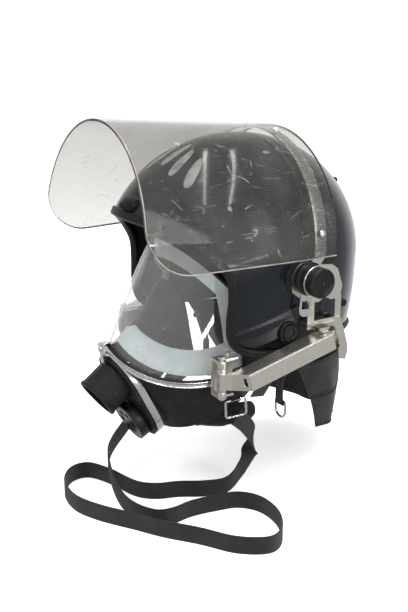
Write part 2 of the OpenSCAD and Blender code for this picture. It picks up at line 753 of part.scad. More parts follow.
module rail_pins() {
    color([0.8, 0.79, 0.75]) pair() {
        at_hinge(-123) cylinder(h = 47, r = pin_r);
        at_hinge(-76.4) cylinder(h = 2.4, r = 4);
        // slotted plate's round rivet
        translate([94.6, -81, -78.6]) cylinder(h = 2.2, r = 2.6);
    }
}

// Outline of the rail seen from above, g inside its faces; the front end is slanted
module rail_plan(g) {
    lean = (slant_out - slant_in) / rail_w;
    back = g * sqrt(1 + lean * lean);
    polygon([[g - rail_w / 2, slant_in + back + lean * g], [rail_w / 2 - g, slant_out + back - lean * g],
        [rail_w / 2 - g, rail_len + g], [g - rail_w / 2, rail_len + g]]);
}

module rail() {
    inner_h = rail_h - 2 * rail_wall;
    color([0.74, 0.71, 0.64]) difference() {
        union() {
            at_rail() translate([0, 0, -rail_h / 2]) linear_extrude(rail_h) rail_plan(0);
            at_hinge(-112.6) cylinder(h = 25.6, r = knuckle_r);
            // web from the hinge knuckle to the slanted front
            translate([0, 0, -109]) linear_extrude(17)
                polygon([[106.6, -101], [111, -101], [119, -91.5], [117, -86.5], [112, -88.5], [106.6, -91]]);
        }
        at_rail() difference() {
            translate([0, 0, -inner_h / 2]) linear_extrude(inner_h) rail_plan(rail_wall);
            translate([-rail_w, 0, -rail_h]) cube([rail_w, slant_out - 6, 2 * rail_h]);
        }
        // window in the slanted front
        at_rail() translate([2, 8, -5]) cube([4, 14, 10]);
        // seam under the top plate
        at_rail() translate([rail_w / 2 - 0.5, slant_in, rail_h / 2 - 2]) cube([1, rail_len, 0.7]);
        // notch at the rear, open towards the helmet, that the striker stands in
        at_rail() translate([-rail_w / 2 - 1, striker[1] - striker_r - 1, -rail_h])
            cube([rail_w / 2 + 1 + striker_r + gap, rail_len, 2 * rail_h]);
        at_hinge(-130) cylinder(h = 60, r = pin_r + running);
    }
}
module rail_left() { rail(); }
module rail_right() { mirror([1, 0, 0]) rail(); }

spring_from = 21;
spring_to = 51;
module rail_spring() {
    turns = 7;
    path = [for (k = [0 : 30 : 360 * turns])
        [3.6 * cos(k), mix(spring_from, spring_to, k / 360 / turns), 3.6 * sin(k)]];
    color([0.7, 0.7, 0.7]) at_rail()
        sweep(path, [for (q = path) [q[0], 0, q[2]]], [for (a = [0 : 72 : 288]) 0.6 * [cos(a), sin(a)]]);
}
module rail_spring_left() { rail_spring(); }
module rail_spring_right() { mirror([1, 0, 0]) rail_spring(); }

// Rod inside the rail, with the fork that drops over the striker
lever_pin = [0, 140];
module slider() {
    color([0.66, 0.64, 0.58]) at_rail() difference() {
        union() {
            translate([-7, 52, -8.3]) cube([14.8, 24, 16.6]);
            translate([-3.5, 75, -5.5]) cube([7, 38, 11]);
            translate([-5, 112, -8]) cube([10, 17, 16]);
            translate([-3, 128, -4.4]) cube([6, lever_pin[1] - 128, 8.8]);
            translate([lever_pin[0], lever_pin[1], -4.4]) cylinder(h = 8.8, r = 4);
            translate([lever_pin[0], lever_pin[1], -11]) cylinder(h = 22, r = 1.8);
        }
        translate([-8, striker[1] - striker_r - 1, -10]) cube([10.5, 2 * striker_r + 2, 20]);
    }
}
module slider_left() { slider(); }
module slider_right() { mirror([1, 0, 0]) slider(); }

// Two-winged finger lever behind the rail
module release_lever() {
    color([0.74, 0.72, 0.67]) at_rail() translate([lever_pin[0], lever_pin[1], 0]) difference() {
        union() {
            for (s = [-1, 1]) translate([0, 0, s * 7]) {
                translate([0, 0, -2]) cylinder(h = 4, r = 5);
                rotate([0, 0, -25]) translate([0, -4, -2]) cube([9, 8, 4]);
            }
            // back plate with an upper and a lower finger wing
            rotate([0, 0, -25]) translate([6.5, -7, 0]) rotate([90, 0, 90]) linear_extrude(2.4)
                polygon([[4, -9], [1, -14], [0, -25], [6, -28], [11, -18], [12, -9],
                    [12, 9], [10, 17], [9, 25], [4, 24], [2, 14], [4, 9]]);
        }
        translate([0, 0, -20]) cylinder(h = 40, r = 1.8 + running);
    }
}
module release_lever_left() { release_lever(); }
module release_lever_right() { mirror([1, 0, 0]) release_lever(); }

// Rubber lugs that hold the wire buckles of the carrying strap
lug_path = curve([[95, -80, -104], [97, -77, -114], [96, -72, -124], [93, -69, -132]], 3);
module strap_lugs() {
    section = [[2.6, -6], [2.6, 6], [-2.6, 6], [-2.6, -6]];
    color([0.06, 0.06, 0.06]) pair() sweep(lug_path, [for (q = lug_path) [0.9, -0.3, 0.1]], section);
}

buckle_top = [92.5, -68.5, -134];
buckle_low = [88, -64, -156];
buckle_half = 11.5;
module strap_buckles() {
    along = unit(buckle_low - buckle_top);
    side = unit(cross(along, [0.9, -0.3, 0.1]));
    wire = 1.4;
    corners = [buckle_top + buckle_half * side, buckle_top - buckle_half * side,
        buckle_low - buckle_half * side, buckle_low + buckle_half * side];
    section = [for (a = [0 : 45 : 315]) wire * [cos(a), sin(a)]];
    loop = [for (i = [0 : 3], t = [0.08, 0.36, 0.64, 0.92]) mix(corners[i], corners[(i + 1) % 4], t)];
    color([0.8, 0.79, 0.77]) pair() sweep(loop, [for (q = loop) cross(along, side)], section, true);
}

// Route of the carrying strap's middle line, from the right lug to the left one
strap_route = [[-88, -64, -157], [-86, -70, -172], [-76, -92, -196], [-58, -124, -210],
    [-36, -152, -216], [-12, -171, -219], [18, -182, -230], [48, -187, -239], [78, -186, -240],
    [102, -175, -240], [108, -158, -240], [106, -134, -240], [110, -106, -240], [118, -80, -240],
    [140, -66, -240], [172, -68, -240], [200, -84, -240], [210, -106, -240], [192, -134, -240],
    [158, -156, -240], [126, -180, -240], [96, -198, -240], [60, -220, -240], [26, -232, -240],
    [-10, -227, -240], [-34, -208, -240], [-34, -186, -240], [-6, -172, -240], [34, -162, -240],
    [52, -146, -240], [62, -122, -240], [76, -98, -240], [82, -72, -240], [74, -48, -232],
    [72, -34, -214], [80, -36, -190], [86, -50, -170], [88, -64, -157]];

// The strap lies on edge, so its width stands up except where it hangs
module carry_strap() {
    path = curve(strap_route, 2);
    section = [for (q = [[1, -0.4], [1, 0.4], [0.5, 0.5], [-0.5, 0.5], [-1, 0.4], [-1, -0.4], [-0.5, -0.5],
            [0.5, -0.5]])
        [q[0] * strap_t / 2, q[1] * strap_w]];
    outs = [for (i = [0 : len(path) - 1])
        let (t = tangent_at(path, i, false), up = [0, 0, 1], flat_out = cross(t, up))
        unit(flat_out)];
    color([0.06, 0.06, 0.06]) sweep(path, outs, section);
}

helmet_shell();
shell_edge_trim();
impact_liner();
headband();
crown_straps();
dial_housing();
headband_dial();
brow_beak();
rear_hook();
side_bosses();
reflective_marks();
neck_curtain();
curtain_piping();
chin_straps();
chin_pad();
ring_tabs();
d_ring_left();
d_ring_right();
pivot_bosses();
pivot_studs();
pivot_bracket_left();
pivot_bracket_right();
bracket_screws();
strikers();
hub_carriers();
hub_drums();
visor_sheet();
visor_band();
visor_rivets();
knob_left();
knob_right();
mask_lens();
lens_gasket();
clamp_band();
clamp_clip();
mask_body();
face_seal();
oronasal_cup();
check_valves();
port_housing();
port_band();
air_nozzle();
exhale_seat();
exhale_disc();
exhale_spring();
exhale_cover();
mask_bracket_left();
mask_bracket_right();
rail_pins();
rail_left();
rail_right();
rail_spring_left();
rail_spring_right();
slider_left();
slider_right();
release_lever_left();
release_lever_right();
strap_lugs();
strap_buckles();
carry_strap();
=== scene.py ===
import math

import bmesh
import bpy
from mathutils import Matrix, Vector, noise


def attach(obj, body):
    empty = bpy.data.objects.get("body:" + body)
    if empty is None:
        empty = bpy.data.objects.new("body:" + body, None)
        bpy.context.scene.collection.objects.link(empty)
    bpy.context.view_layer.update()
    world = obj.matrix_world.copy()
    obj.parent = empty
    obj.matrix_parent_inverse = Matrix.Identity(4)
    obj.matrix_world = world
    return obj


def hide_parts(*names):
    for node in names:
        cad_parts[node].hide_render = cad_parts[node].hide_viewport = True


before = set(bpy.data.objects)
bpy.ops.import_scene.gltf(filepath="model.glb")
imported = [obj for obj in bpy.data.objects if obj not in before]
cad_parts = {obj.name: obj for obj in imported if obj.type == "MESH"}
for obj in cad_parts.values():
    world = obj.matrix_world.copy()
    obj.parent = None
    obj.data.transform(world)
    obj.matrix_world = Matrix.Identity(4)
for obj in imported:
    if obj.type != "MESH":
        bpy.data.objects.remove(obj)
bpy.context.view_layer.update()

# Shapes are in millimetres in the row frame, and become metres when a mesh is made. The camera, the
# lights and the floor are in metres.
MM = 0.001

# ---- driving sizes: the CAD part's, and the width of the visor's painted edge highlight --------

SHELL_HALF = (118, 155)   # half width and half length of the shell
SHELL_TOP = 138           # height of the form over its centre
SHELL_LOW = 260           # depth of the form under its centre, most of it cut away
SHELL_Y = -10
SHELL_WALL = 4
VISOR_R = 129
VISOR_WALL = 2.5
VISOR_FRONT = 192
VISOR_NOSE = 114          # half width of the visor at its front
VISOR_REAR = 33
VISOR_TILT = math.radians(5.5)
VISOR_Z = 18
VISOR_LOW = 5             # height of the lower edge at the front, if its corner were square
VISOR_SLOPE = 0.082       # rise of the lower edge towards the rear
VISOR_CORNER = 50
# width of the pale border painted along the visor's edges as a highlight
VISOR_HIGHLIGHT_BAND = 1.3
KNOB_R = 16
KNOB_FACE = 151
KNOB_X = 138.5
LENS_WALL = 2.5
FLOOR_Z = -250
STRAP_W = 20
STRAP_T = 1.6
PORT_AT = Vector((0, -151, -143))
PORT_TURN = math.radians(117)
NOZZLE_AT = Vector((0, -189.5, -138))
NOZZLE_TURN = math.radians(126)
NOZZLE_R = 24
NOZZLE_BORE = 20
NOZZLE_DEPTH = 25
LENS_MID = Vector((0, -88, -34))


def sind(a):
    return math.sin(math.radians(a))


def cosd(a):
    return math.cos(math.radians(a))


def mix(a, b, t):
    return a + (b - a) * t


def clamp(x, low=0.0, high=1.0):
    return max(low, min(high, x))


def smoothstep(low, high, x):
    t = clamp((x - low) / (high - low))
    return t * t * (3 - 2 * t)


def span(low, high, count):
    """count + 1 even steps from low to high."""
    return [mix(low, high, i / count) for i in range(count + 1)]


def around(a):
    """The level direction that is a degrees round from the front, towards +X."""
    return Vector((sind(a), -cosd(a), 0))


def behind(b):
    """The level direction that is b degrees round from the back, towards +X."""
    return Vector((sind(b), cosd(b), 0))


def curve(points, steps):
    """A smooth line through points, as the CAD part's curve() draws it."""
    p = [Vector(q) for q in points]
    line = []
    for i in range(len(p) - 1):
        a, b, c, d = p[max(i - 1, 0)], p[i], p[i + 1], p[min(i + 2, len(p) - 1)]
        for k in range(steps):
            t = k / steps
            line.append(0.5 * (2 * b + (c - a) * t + (2 * a - 5 * b + 4 * c - d) * t ** 2
                               + (3 * b - 3 * c + d - a) * t ** 3))
    line.append(p[-1])
    return line


def tangent(path, i, closed=False):
    n = len(path)
    if closed:
        return (path[(i + 1) % n] - path[i - 1]).normalized()
    return (path[min(i + 1, n - 1)] - path[max(i - 1, 0)]).normalized()


# ---- camera -----------------------------------------------------------------------------------

CAMERA_AT = Vector((0.9109, -0.6404, 0.2968))
CAMERA_AZIMUTH = 57       # degrees round from the front
CAMERA_ELEVATION = 18
CAMERA_LENS = 58.82       # focal length in millimetres


def make_camera():
    data = bpy.data.cameras.new("camera")
    data.lens = CAMERA_LENS
    data.clip_end = 50
    camera = bpy.data.objects.new("camera", data)
    bpy.context.scene.collection.objects.link(camera)
    flat = cosd(CAMERA_ELEVATION)
    back = Vector((sind(CAMERA_AZIMUTH) * flat, -cosd(CAMERA_AZIMUTH) * flat, sind(CAMERA_ELEVATION)))
    camera.rotation_mode = "QUATERNION"
    camera.rotation_quaternion = (-back).to_track_quat("-Z", "Y")
    camera.location = CAMERA_AT
    bpy.context.scene.camera = camera


make_camera()


# ---- forms ------------------------------------------------------------------------------------

class Form:
    """Points and faces in millimetres, put together before they become one mesh."""

    def __init__(self):
        self.points = []
        self.faces = []
        self.uvs = []
        self.finishes = []

    def face(self, corners, uvs=None, finish=0):
        self.faces.append(list(corners))
        self.uvs.append(uvs or [(0, 0)] * len(corners))
        self.finishes.append(finish)

    def grid(self, rings, wrap=True, closed=False, finish=0, flip=False):
        """Quads between rings of equal count, with a map in millimetres; returns the first point's number."""
        start, n, m = len(self.points), len(rings[0]), len(rings)
        self.points += [Vector(p) for ring in rings for p in ring]
        along, around = [0], [0]
        middle = n // 2
        for i in range(m if closed else m - 1):
            along.append(along[-1] + (rings[(i + 1) % m][middle] - rings[i][middle]).length)
        widest = rings[m // 2]
        for k in range(n if wrap else n - 1):
            around.append(around[-1] + (widest[(k + 1) % n] - widest[k]).length)
        for i in range(m if closed else m - 1):
            for k in range(n if wrap else n - 1):
                j, q = (i + 1) % m, (k + 1) % n
                corners = [start + i * n + k, start + i * n + q, start + j * n + q, start + j * n + k]
                uvs = [(around[k], along[i]), (around[k + 1], along[i]),
                       (around[k + 1], along[i + 1]), (around[k], along[i + 1])]
                if flip:
                    corners, uvs = corners[::-1], uvs[::-1]
                self.face(corners, uvs, finish)
        return start

    def solid(self, rings, closed=False, finish=0):
        """A closed body through rings, with flat ends unless the rings close on themselves."""
        start, n, m = self.grid(rings, closed=closed, finish=finish), len(rings[0]), len(rings)
        if not closed:
            self.face([start + k for k in range(n - 1, -1, -1)], finish=finish)
            self.face([start + (m - 1) * n + k for k in range(n)], finish=finish)
        return self

    def shell(self, outer, inner, wrap=False, finish=0, inner_finish=0, edge_finish=0):
        """A wall between an outer and an inner grid."""
        m, n = len(outer), len(outer[0])
        a = self.grid(outer, wrap=wrap, finish=finish)
        b = self.grid(inner, wrap=wrap, finish=inner_finish, flip=True)
        for k in range(n if wrap else n - 1):
            q = (k + 1) % n
            self.face([a + q, a + k, b + k, b + q], finish=edge_finish)
            last = (m - 1) * n
            self.face([a + last + k, a + last + q, b + last + q, b + last + k], finish=edge_finish)
        if not wrap:
            for i in range(m - 1):
                self.face([a + i * n, a + (i + 1) * n, b + (i + 1) * n, b + i * n], finish=edge_finish)
                last = n - 1
                self.face([a + (i + 1) * n + last, a + i * n + last,
                           b + i * n + last, b + (i + 1) * n + last], finish=edge_finish)
        return self

    def sweep(self, path, outs, section, closed=False):
        """A section of (out, side) points, or a function of the step that gives one, along a path."""
        rings = []
        for i, p in enumerate(path):
            t = tangent(path, i, closed)
            out = outs[i] - t * outs[i].dot(t)
            out.normalize()
            side = t.cross(out)
            profile = section(i / (len(path) - 1)) if callable(section) else section
            rings.append([p + q[0] * out + q[1] * side for q in profile])
        return self.solid(rings, closed=closed)

    def lathe(self, profile, steps=64, finish=0):
        """A body of revolution round X; the profile is a closed loop of (x, radius)."""
        rings = []
        for i in range(steps):
            a = 2 * math.pi * i / steps
            rings.append([Vector((x, r * math.cos(a), r * math.sin(a))) for x, r in profile])
        return self.solid(rings, closed=True, finish=finish)

    def keep_faces(self, wanted):
        """Leaves out each face that wanted(its corners) says no to."""
        rows = [row for row in zip(self.faces, self.uvs, self.finishes) if wanted(row[0])]
        self.faces, self.uvs, self.finishes = (list(column) for column in zip(*rows))

    def place(self, matrix):
        self.points = [matrix @ p for p in self.points]
        return self

    def add(self, other, mirror=False):
        start = len(self.points)
        self.points += [Vector((-p.x, p.y, p.z)) if mirror else p.copy() for p in other.points]
        for corners, uvs, finish in zip(other.faces, other.uvs, other.finishes):
            corners = [start + c for c in corners]
            self.face(corners[::-1] if mirror else corners, uvs[::-1] if mirror else uvs, finish)
        return self

    def both_sides(self):
        twin = Form().add(self)
        return self.add(twin, mirror=True)

    def make(self, name, body, finishes, slot, stands_for=(), edge=0.0, angle=40, segments=2):
        """The mesh object: it rides on a body, takes its materials, and gets rounded edges. The slot argument
        is not used.
        """
        mesh = bpy.data.meshes.new(name)
        mesh.from_pydata([p * MM for p in self.points], [], self.faces)
        layer = mesh.uv_layers.new(name="cloth")
        flat = [uv for uvs in self.uvs for uv in uvs]
        for loop, uv in zip(layer.data, flat):
            loop.uv = uv
        mesh.polygons.foreach_set("material_index", self.finishes)
        for finish in finishes if isinstance(finishes, (list, tuple)) else [finishes]:
            mesh.materials.append(finish)
        shaped = bmesh.new()
        shaped.from_mesh(mesh)
        bmesh.ops.remove_doubles(shaped, verts=shaped.verts, dist=1e-6)
        bmesh.ops.dissolve_degenerate(shaped, edges=shaped.edges, dist=1e-7)
        bmesh.ops.recalc_face_normals(shaped, faces=shaped.faces)
        shaped.to_mesh(mesh)
        shaped.free()
        obj = bpy.data.objects.new(name, mesh)
        bpy.context.scene.collection.objects.link(obj)
        mesh.shade_smooth()
        if edge:
            bevel(obj, edge, angle, segments)
        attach(obj, body)
        if stands_for:
            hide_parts(*stands_for)
        return obj


def bevel(obj, width, angle, segments=2):
    modifier = obj.modifiers.new("edges", "BEVEL")
    modifier.width = width * MM
    modifier.segments = segments
    modifier.limit_method = "ANGLE"
    modifier.angle_limit = math.radians(angle)
    modifier.harden_normals = True
    modifier.use_clamp_overlap = True


def round_section(radius, steps):
    return [(radius * cosd(360 * k / steps), radius * sind(360 * k / steps)) for k in range(steps)]


def pill_section(out, side, corner, steps):
    """A rounded rectangle, out by side from edge to edge, as (out, side) points."""
    points = []
    for q, (so, ss) in enumerate([(1, 1), (-1, 1), (-1, -1), (1, -1)]):
        for k in range(steps + 1):
            a = 90 * q + 90 * k / steps
            points.append((so * (out / 2 - corner) + corner * cosd(a),
                           ss * (side / 2 - corner) + corner * sind(a)))
    return points


# ---- materials --------------------------------------------------------------------------------

SCRATCH_TURNS = ((0, 0, 20), (50, 0, -35), (0, 60, 70))   # degrees about X, Y and Z


class Nodes:
    """A node tree, with short ways to add to it."""

    def __init__(self, tree):
        self.tree = tree

    def node(self, kind, **values):
        made = self.tree.nodes.new("ShaderNode" + kind)
        for key, value in values.items():
            if key[0].isupper():
                made.inputs[key.replace("_", " ")].default_value = value
            else:
                setattr(made, key, value)
        return made

    def link(self, source, target):
        self.tree.links.new(source, target)
        return source

    def ramp(self, source, low, high, dark=0.0, light=1.0):
        made = self.node("MapRange", clamp=True, interpolation_type="SMOOTHSTEP")
        for key, value in (("From Min", low), ("From Max", high), ("To Min", dark), ("To Max", light)):
            made.inputs[key].default_value = value
        self.link(source, made.inputs["Value"])
        return made.outputs[0]

    def maths(self, operation, a, b):
        made = self.node("Math", operation=operation)
        for i, value in enumerate((a, b)):
            if isinstance(value, (int, float)):
                made.inputs[i].default_value = value
            else:
                self.link(value, made.inputs[i])
        return made.outputs[0]

    def blend(self, factor, a, b):
        made = self.node("MixRGB")
        self.link(factor, made.inputs[0])
        for i, value in ((1, a), (2, b)):
            if isinstance(value, tuple):
                made.inputs[i].default_value = (*value, 1)
            else:
                self.link(value, made.inputs[i])
        return made.outputs[0]

    def mix_shader(self, factor, a, b):
        made = self.node("MixShader")
        for i, source in enumerate((factor, a, b)):
            self.link(source, made.inputs[i])
        return made.outputs[0]


class Finish(Nodes):
    """A Principled material, built up a map at a time. Scales are in features for each metre."""

    def __init__(self, name, colour, roughness, **sockets):
        self.material = bpy.data.materials.new(name)
        self.material.use_nodes = True
        super().__init__(self.material.node_tree)
        self.shader = self.tree.nodes["Principled BSDF"]
        self.shader.inputs["Base Color"].default_value = (*colour, 1)
        self.shader.inputs["Roughness"].default_value = roughness
        for socket, value in sockets.items():
            self.shader.inputs[socket.replace("_", " ")].default_value = value
        self.place = self.tree.nodes.new("ShaderNodeTexCoord")
        self.height = None

    def coords(self, stretch=(1, 1, 1), turn=(0, 0, 0), cloth=False):
        mapping = self.node("Mapping")
        mapping.inputs["Scale"].default_value = stretch
        mapping.inputs["Rotation"].default_value = [math.radians(a) for a in turn]
        self.link(self.place.outputs["UV" if cloth else "Object"], mapping.inputs["Vector"])
        return mapping.outputs[0]

    def clouds(self, scale, detail=3, roughness=0.5, warp=0.0, **where):
        made = self.node("TexNoise", Scale=scale, Detail=detail, Roughness=roughness, Distortion=warp)
        self.link(self.coords(**where), made.inputs["Vector"])
        return made.outputs[0]

    def cells(self, scale, feature="F1", randomness=1.0):
        made = self.node("TexVoronoi", feature=feature, Scale=scale, Randomness=randomness)
        self.link(self.coords(), made.inputs["Vector"])
        return made.outputs["Distance"]

    def ribs(self, scale, direction, warp):
        """Waves on the cloth's own map, which is in millimetres."""
        made = self.node("TexWave", Scale=scale, Distortion=warp, bands_direction=direction)
        self.link(self.coords(cloth=True), made.inputs["Vector"])
        return made.outputs["Fac"]

    def colour(self, source):
        self.link(source, self.shader.inputs["Base Color"])
        return self

    def shade(self, source, low, high, dark, light):
        """Colours the surface from dark to light as source goes from low to high."""
        return self.colour(self.blend(self.ramp(source, low, high), dark, light))

    def roughness(self, source):
        self.link(source, self.shader.inputs["Roughness"])
        return self

    def bump(self, source, depth):
        """depth is the relief in millimetres from the map's 0 to its 1."""
        made = self.node("Bump", Strength=1.0, Distance=depth * MM)
        self.link(source, made.inputs["Height"])
        if self.height:
            self.link(self.height, made.inputs["Normal"])
        self.height = made.outputs[0]
        self.link(self.height, self.shader.inputs["Normal"])
        return self

    def scratches(self, scale, amount):
        """Fine straight scratches in a few directions, as a mask; amount from 0 to 1."""
        total = None
        for i, turn in enumerate(SCRATCH_TURNS):
            streak = self.clouds(scale, 2, 0.6, stretch=(1, 0.04, 1), turn=turn)
            thin = self.ramp(streak, 0.76 - 0.05 * amount, 0.80 - 0.05 * amount)
            patch = self.clouds(scale * 0.06, 2, turn=(31 * i, 17, 0))
            thin = self.maths("MULTIPLY", thin, self.ramp(patch, 0.42, 0.6))
            total = thin if total is None else self.maths("MAXIMUM", total, thin)
        return total

    def hairs(self, scale, width):
        """Thin curved scratches, as a mask: broken level lines of a slow noise."""
        total = None
        for i, turn in enumerate(SCRATCH_TURNS):
            slow = self.clouds(scale, 1, stretch=(1, 0.4, 1), turn=turn)
            line = self.ramp(self.maths("ABSOLUTE", self.maths("SUBTRACT", slow, 0.5), 0), width, 0.3 * width)
            kept = self.ramp(self.clouds(scale * 2.4, 2, turn=(31 * i, 17, 0)), 0.54, 0.6)
            line = self.maths("MULTIPLY", line, kept)
            total = line if total is None else self.maths("MAXIMUM", total, line)
        return total


def paint_finish():
    f = Finish("shell_paint", (0.005, 0.007, 0.011), 0.14, Coat_Weight=0.35, Coat_Roughness=0.03,
               Specular_IOR_Level=0.3)
    tone = f.clouds(9, 4, 0.55)
    f.shade(tone, 0.35, 0.7, (0.003, 0.0044, 0.008), (0.007, 0.0092, 0.014))
    scuffs = f.scratches(1300, 0.45)
    haze = f.ramp(f.clouds(26, 5, 0.6), 0.4, 0.72, 0.12, 0.24)
    f.roughness(f.maths("MAXIMUM", haze, f.maths("MULTIPLY", scuffs, 0.45)))
    f.bump(f.clouds(14, 1), 0.04)
    return f.material


def inside_finish():
    f = Finish("shell_inside", (0.02, 0.02, 0.022), 0.7)
    f.colour(f.blend(f.clouds(60, 4), (0.010, 0.010, 0.012), (0.024, 0.024, 0.026)))
    f.bump(f.clouds(900, 3), 0.12)
    return f.material


def rubber_finish(name, tone, roughness, grain, dust):
    f = Finish(name, (tone, tone, tone * 1.04), roughness, Specular_IOR_Level=0.25)
    patches = f.ramp(f.clouds(26, 5, 0.6), 0.38, 0.78)
    marks = f.maths("MULTIPLY", f.ramp(f.clouds(240, 3, 0.6), 0.62, 0.74), dust)
    worn = f.blend(patches, (tone * 0.85, tone * 0.85, tone * 0.88), (tone * 1.45, tone * 1.45, tone * 1.5))
    f.colour(f.blend(marks, worn, (0.12, 0.12, 0.115)))
    f.roughness(f.ramp(patches, 0, 1, roughness - 0.06, roughness + 0.1))
    f.bump(f.clouds(1500, 2), grain)
    f.bump(f.clouds(70, 2), grain * 2)
    return f.material


def plastic_finish():
    f = Finish("black_plastic", (0.02, 0.02, 0.021), 0.38, Specular_IOR_Level=0.45)
    worn = f.clouds(48, 5, 0.6)
    f.shade(worn, 0.45, 0.8, (0.006, 0.006, 0.0065), (0.018, 0.018, 0.018))
    f.roughness(f.ramp(worn, 0.3, 0.8, 0.28, 0.48))
    f.bump(f.cells(1300), 0.03)
    return f.material


def steel_finish(name, light, dark, roughness, brush, stained):
    """Worn plated or polished steel, brushed along Y, with faint stains."""
    f = Finish(name, light, roughness, Metallic=1.0)
    stain = f.maths("MULTIPLY", f.ramp(f.clouds(30, 4, 0.55, warp=0.4), 0.42, 0.72), stained)
    spots = f.ramp(f.cells(230), 0.09, 0.04)
    spots = f.maths("MULTIPLY", spots, f.ramp(f.clouds(45, 3), 0.6, 0.72, 0, 0.15))
    f.colour(f.blend(f.maths("MAXIMUM", stain, spots), light, dark))
    brushed = f.clouds(1100, 2, 0.6, stretch=(1, 0.04, 1))
    grain = f.ramp(brushed, 0.3, 0.75, roughness - 0.05, roughness + brush)
    f.roughness(f.maths("ADD", grain, f.maths("MULTIPLY", stain, 0.12)))
    f.bump(brushed, 0.002)
    f.bump(f.scratches(1300, 0.5), -0.003)
    return f.material


def webbing_finish():
    """Flat webbing: U runs across the strap and V along it, in millimetres."""
    f = Finish("webbing", (0.015, 0.015, 0.016), 0.8, Sheen_Weight=0.12, Sheen_Roughness=0.5)
    weft = f.ribs(0.62, "Y", 0.4)
    warp_yarns = f.ribs(0.5, "X", 0.3)
    weave = f.maths("MULTIPLY", weft, f.ramp(warp_yarns, 0, 1, 0.45, 1))
    tone = f.blend(f.ramp(f.clouds(70, 4), 0.35, 0.75), (0.007, 0.007, 0.008), (0.020, 0.021, 0.022))
    f.shade(weave, 0.1, 0.9, (0.004, 0.004, 0.005), tone)
    f.bump(weave, 0.3)
    return f.material


def leather_finish():
    f = Finish("curtain_leather", (0.02, 0.02, 0.02), 0.5, Specular_IOR_Level=0.35)
    pores = f.cells(620, "DISTANCE_TO_EDGE")
    folds = f.clouds(24, 5, 0.6, warp=0.8)
    wear = f.ramp(f.clouds(17, 5, 0.65, warp=0.4), 0.4, 0.72)
    tone = f.blend(wear, (0.014, 0.015, 0.015), (0.042, 0.042, 0.041))
    f.shade(pores, 0.0, 0.05, (0.010, 0.010, 0.010), tone)
    f.roughness(f.ramp(wear, 0, 1, 0.4, 0.62))
    f.bump(f.ramp(pores, 0.0, 0.09), 0.07)
    f.bump(folds, 0.8)
    return f.material


def pile_finish():
    f = Finish("pad_fabric", (0.010, 0.010, 0.011), 0.95, Sheen_Weight=0.3, Sheen_Roughness=0.35)
    fur = f.clouds(1400, 4, 0.7, stretch=(1, 1, 0.5))
    f.shade(fur, 0.35, 0.75, (0.003, 0.003, 0.004), (0.022, 0.022, 0.024))
    f.bump(fur, 0.7)
    f.bump(f.clouds(160, 4), 0.8)
    return f.material


def foam_finish():
    f = Finish("liner_foam", (0.015, 0.015, 0.016), 0.95, Specular_IOR_Level=0.2)
    pores = f.cells(1100)
    f.shade(pores, 0.1, 0.5, (0.010, 0.010, 0.011), (0.022, 0.022, 0.024))
    f.bump(pores, 0.12)
    return f.material


def reflective_finish():
    f = Finish("reflective", (0.5, 0.51, 0.51), 0.35, Metallic=0.25, Coat_Weight=0.3)
    cells = f.cells(620, "DISTANCE_TO_EDGE", 0.15)
    grime = f.clouds(80, 5, 0.6)
    f.shade(grime, 0.42, 0.7, (0.50, 0.51, 0.51), (0.22, 0.225, 0.23))
    f.bump(f.ramp(cells, 0.0, 0.06), 0.06)
    return f.material


def silicone_finish():
    f = Finish("pale_silicone", (0.62, 0.65, 0.67), 0.32, Specular_IOR_Level=0.5, Subsurface_Weight=0.15,
               Subsurface_Scale=0.004)
    f.shade(f.clouds(28, 4), 0.35, 0.7, (0.72, 0.75, 0.76), (0.52, 0.55, 0.57))
    f.roughness(f.ramp(f.clouds(60, 4), 0.35, 0.7, 0.22, 0.42))
    f.bump(f.clouds(140, 3), 0.15)
    return f.material


def clear_finish(name, tint, haze, frosted, scratched, shine, gloss):
    """A clear moulded sheet: light goes straight through, mirrors more at a slant, and is hazed by wear."""
    f = Finish(name, frosted, 0.5, Specular_IOR_Level=0.0)
    cloud = f.ramp(f.clouds(11, 5, 0.6, warp=0.5), 0.35, 0.75, haze * 0.6, haze * 1.5)
    lines = f.maths("MULTIPLY", f.hairs(34, 0.0045), 0.28 * scratched)
    specks = f.maths("MULTIPLY", f.ramp(f.cells(75), 0.06, 0.045), 0.3 * scratched)
    frost = f.maths("MAXIMUM", cloud, f.maths("MAXIMUM", lines, specks))
    through = f.node("BsdfTransparent", Color=(*tint, 1))
    hazed = f.mix_shader(frost, through.outputs[0], f.shader.outputs[0])
    mirror = f.node("BsdfAnisotropic", Roughness=gloss, Color=(1, 1, 1, 1))
    facing = f.node("LayerWeight", Blend=0.5)
    slant = f.maths("POWER", facing.outputs["Facing"], 5.0)
    surface = f.mix_shader(f.ramp(slant, 0, 1, shine, 0.9), hazed, mirror.outputs[0])
    f.link(surface, f.tree.nodes["Material Output"].inputs["Surface"])
    return f.material


def rim_finish(name, dark, light):
    """The visor's cut edge, and the pale border along its edges that is a painted highlight; both slightly
    brown.
    """
    f = Finish(name, dark, 0.25, Specular_IOR_Level=0.5)
    f.shade(f.clouds(45, 4), 0.35, 0.7, dark, light)
    f.bump(f.clouds(600, 2), 0.03)
    return f.material


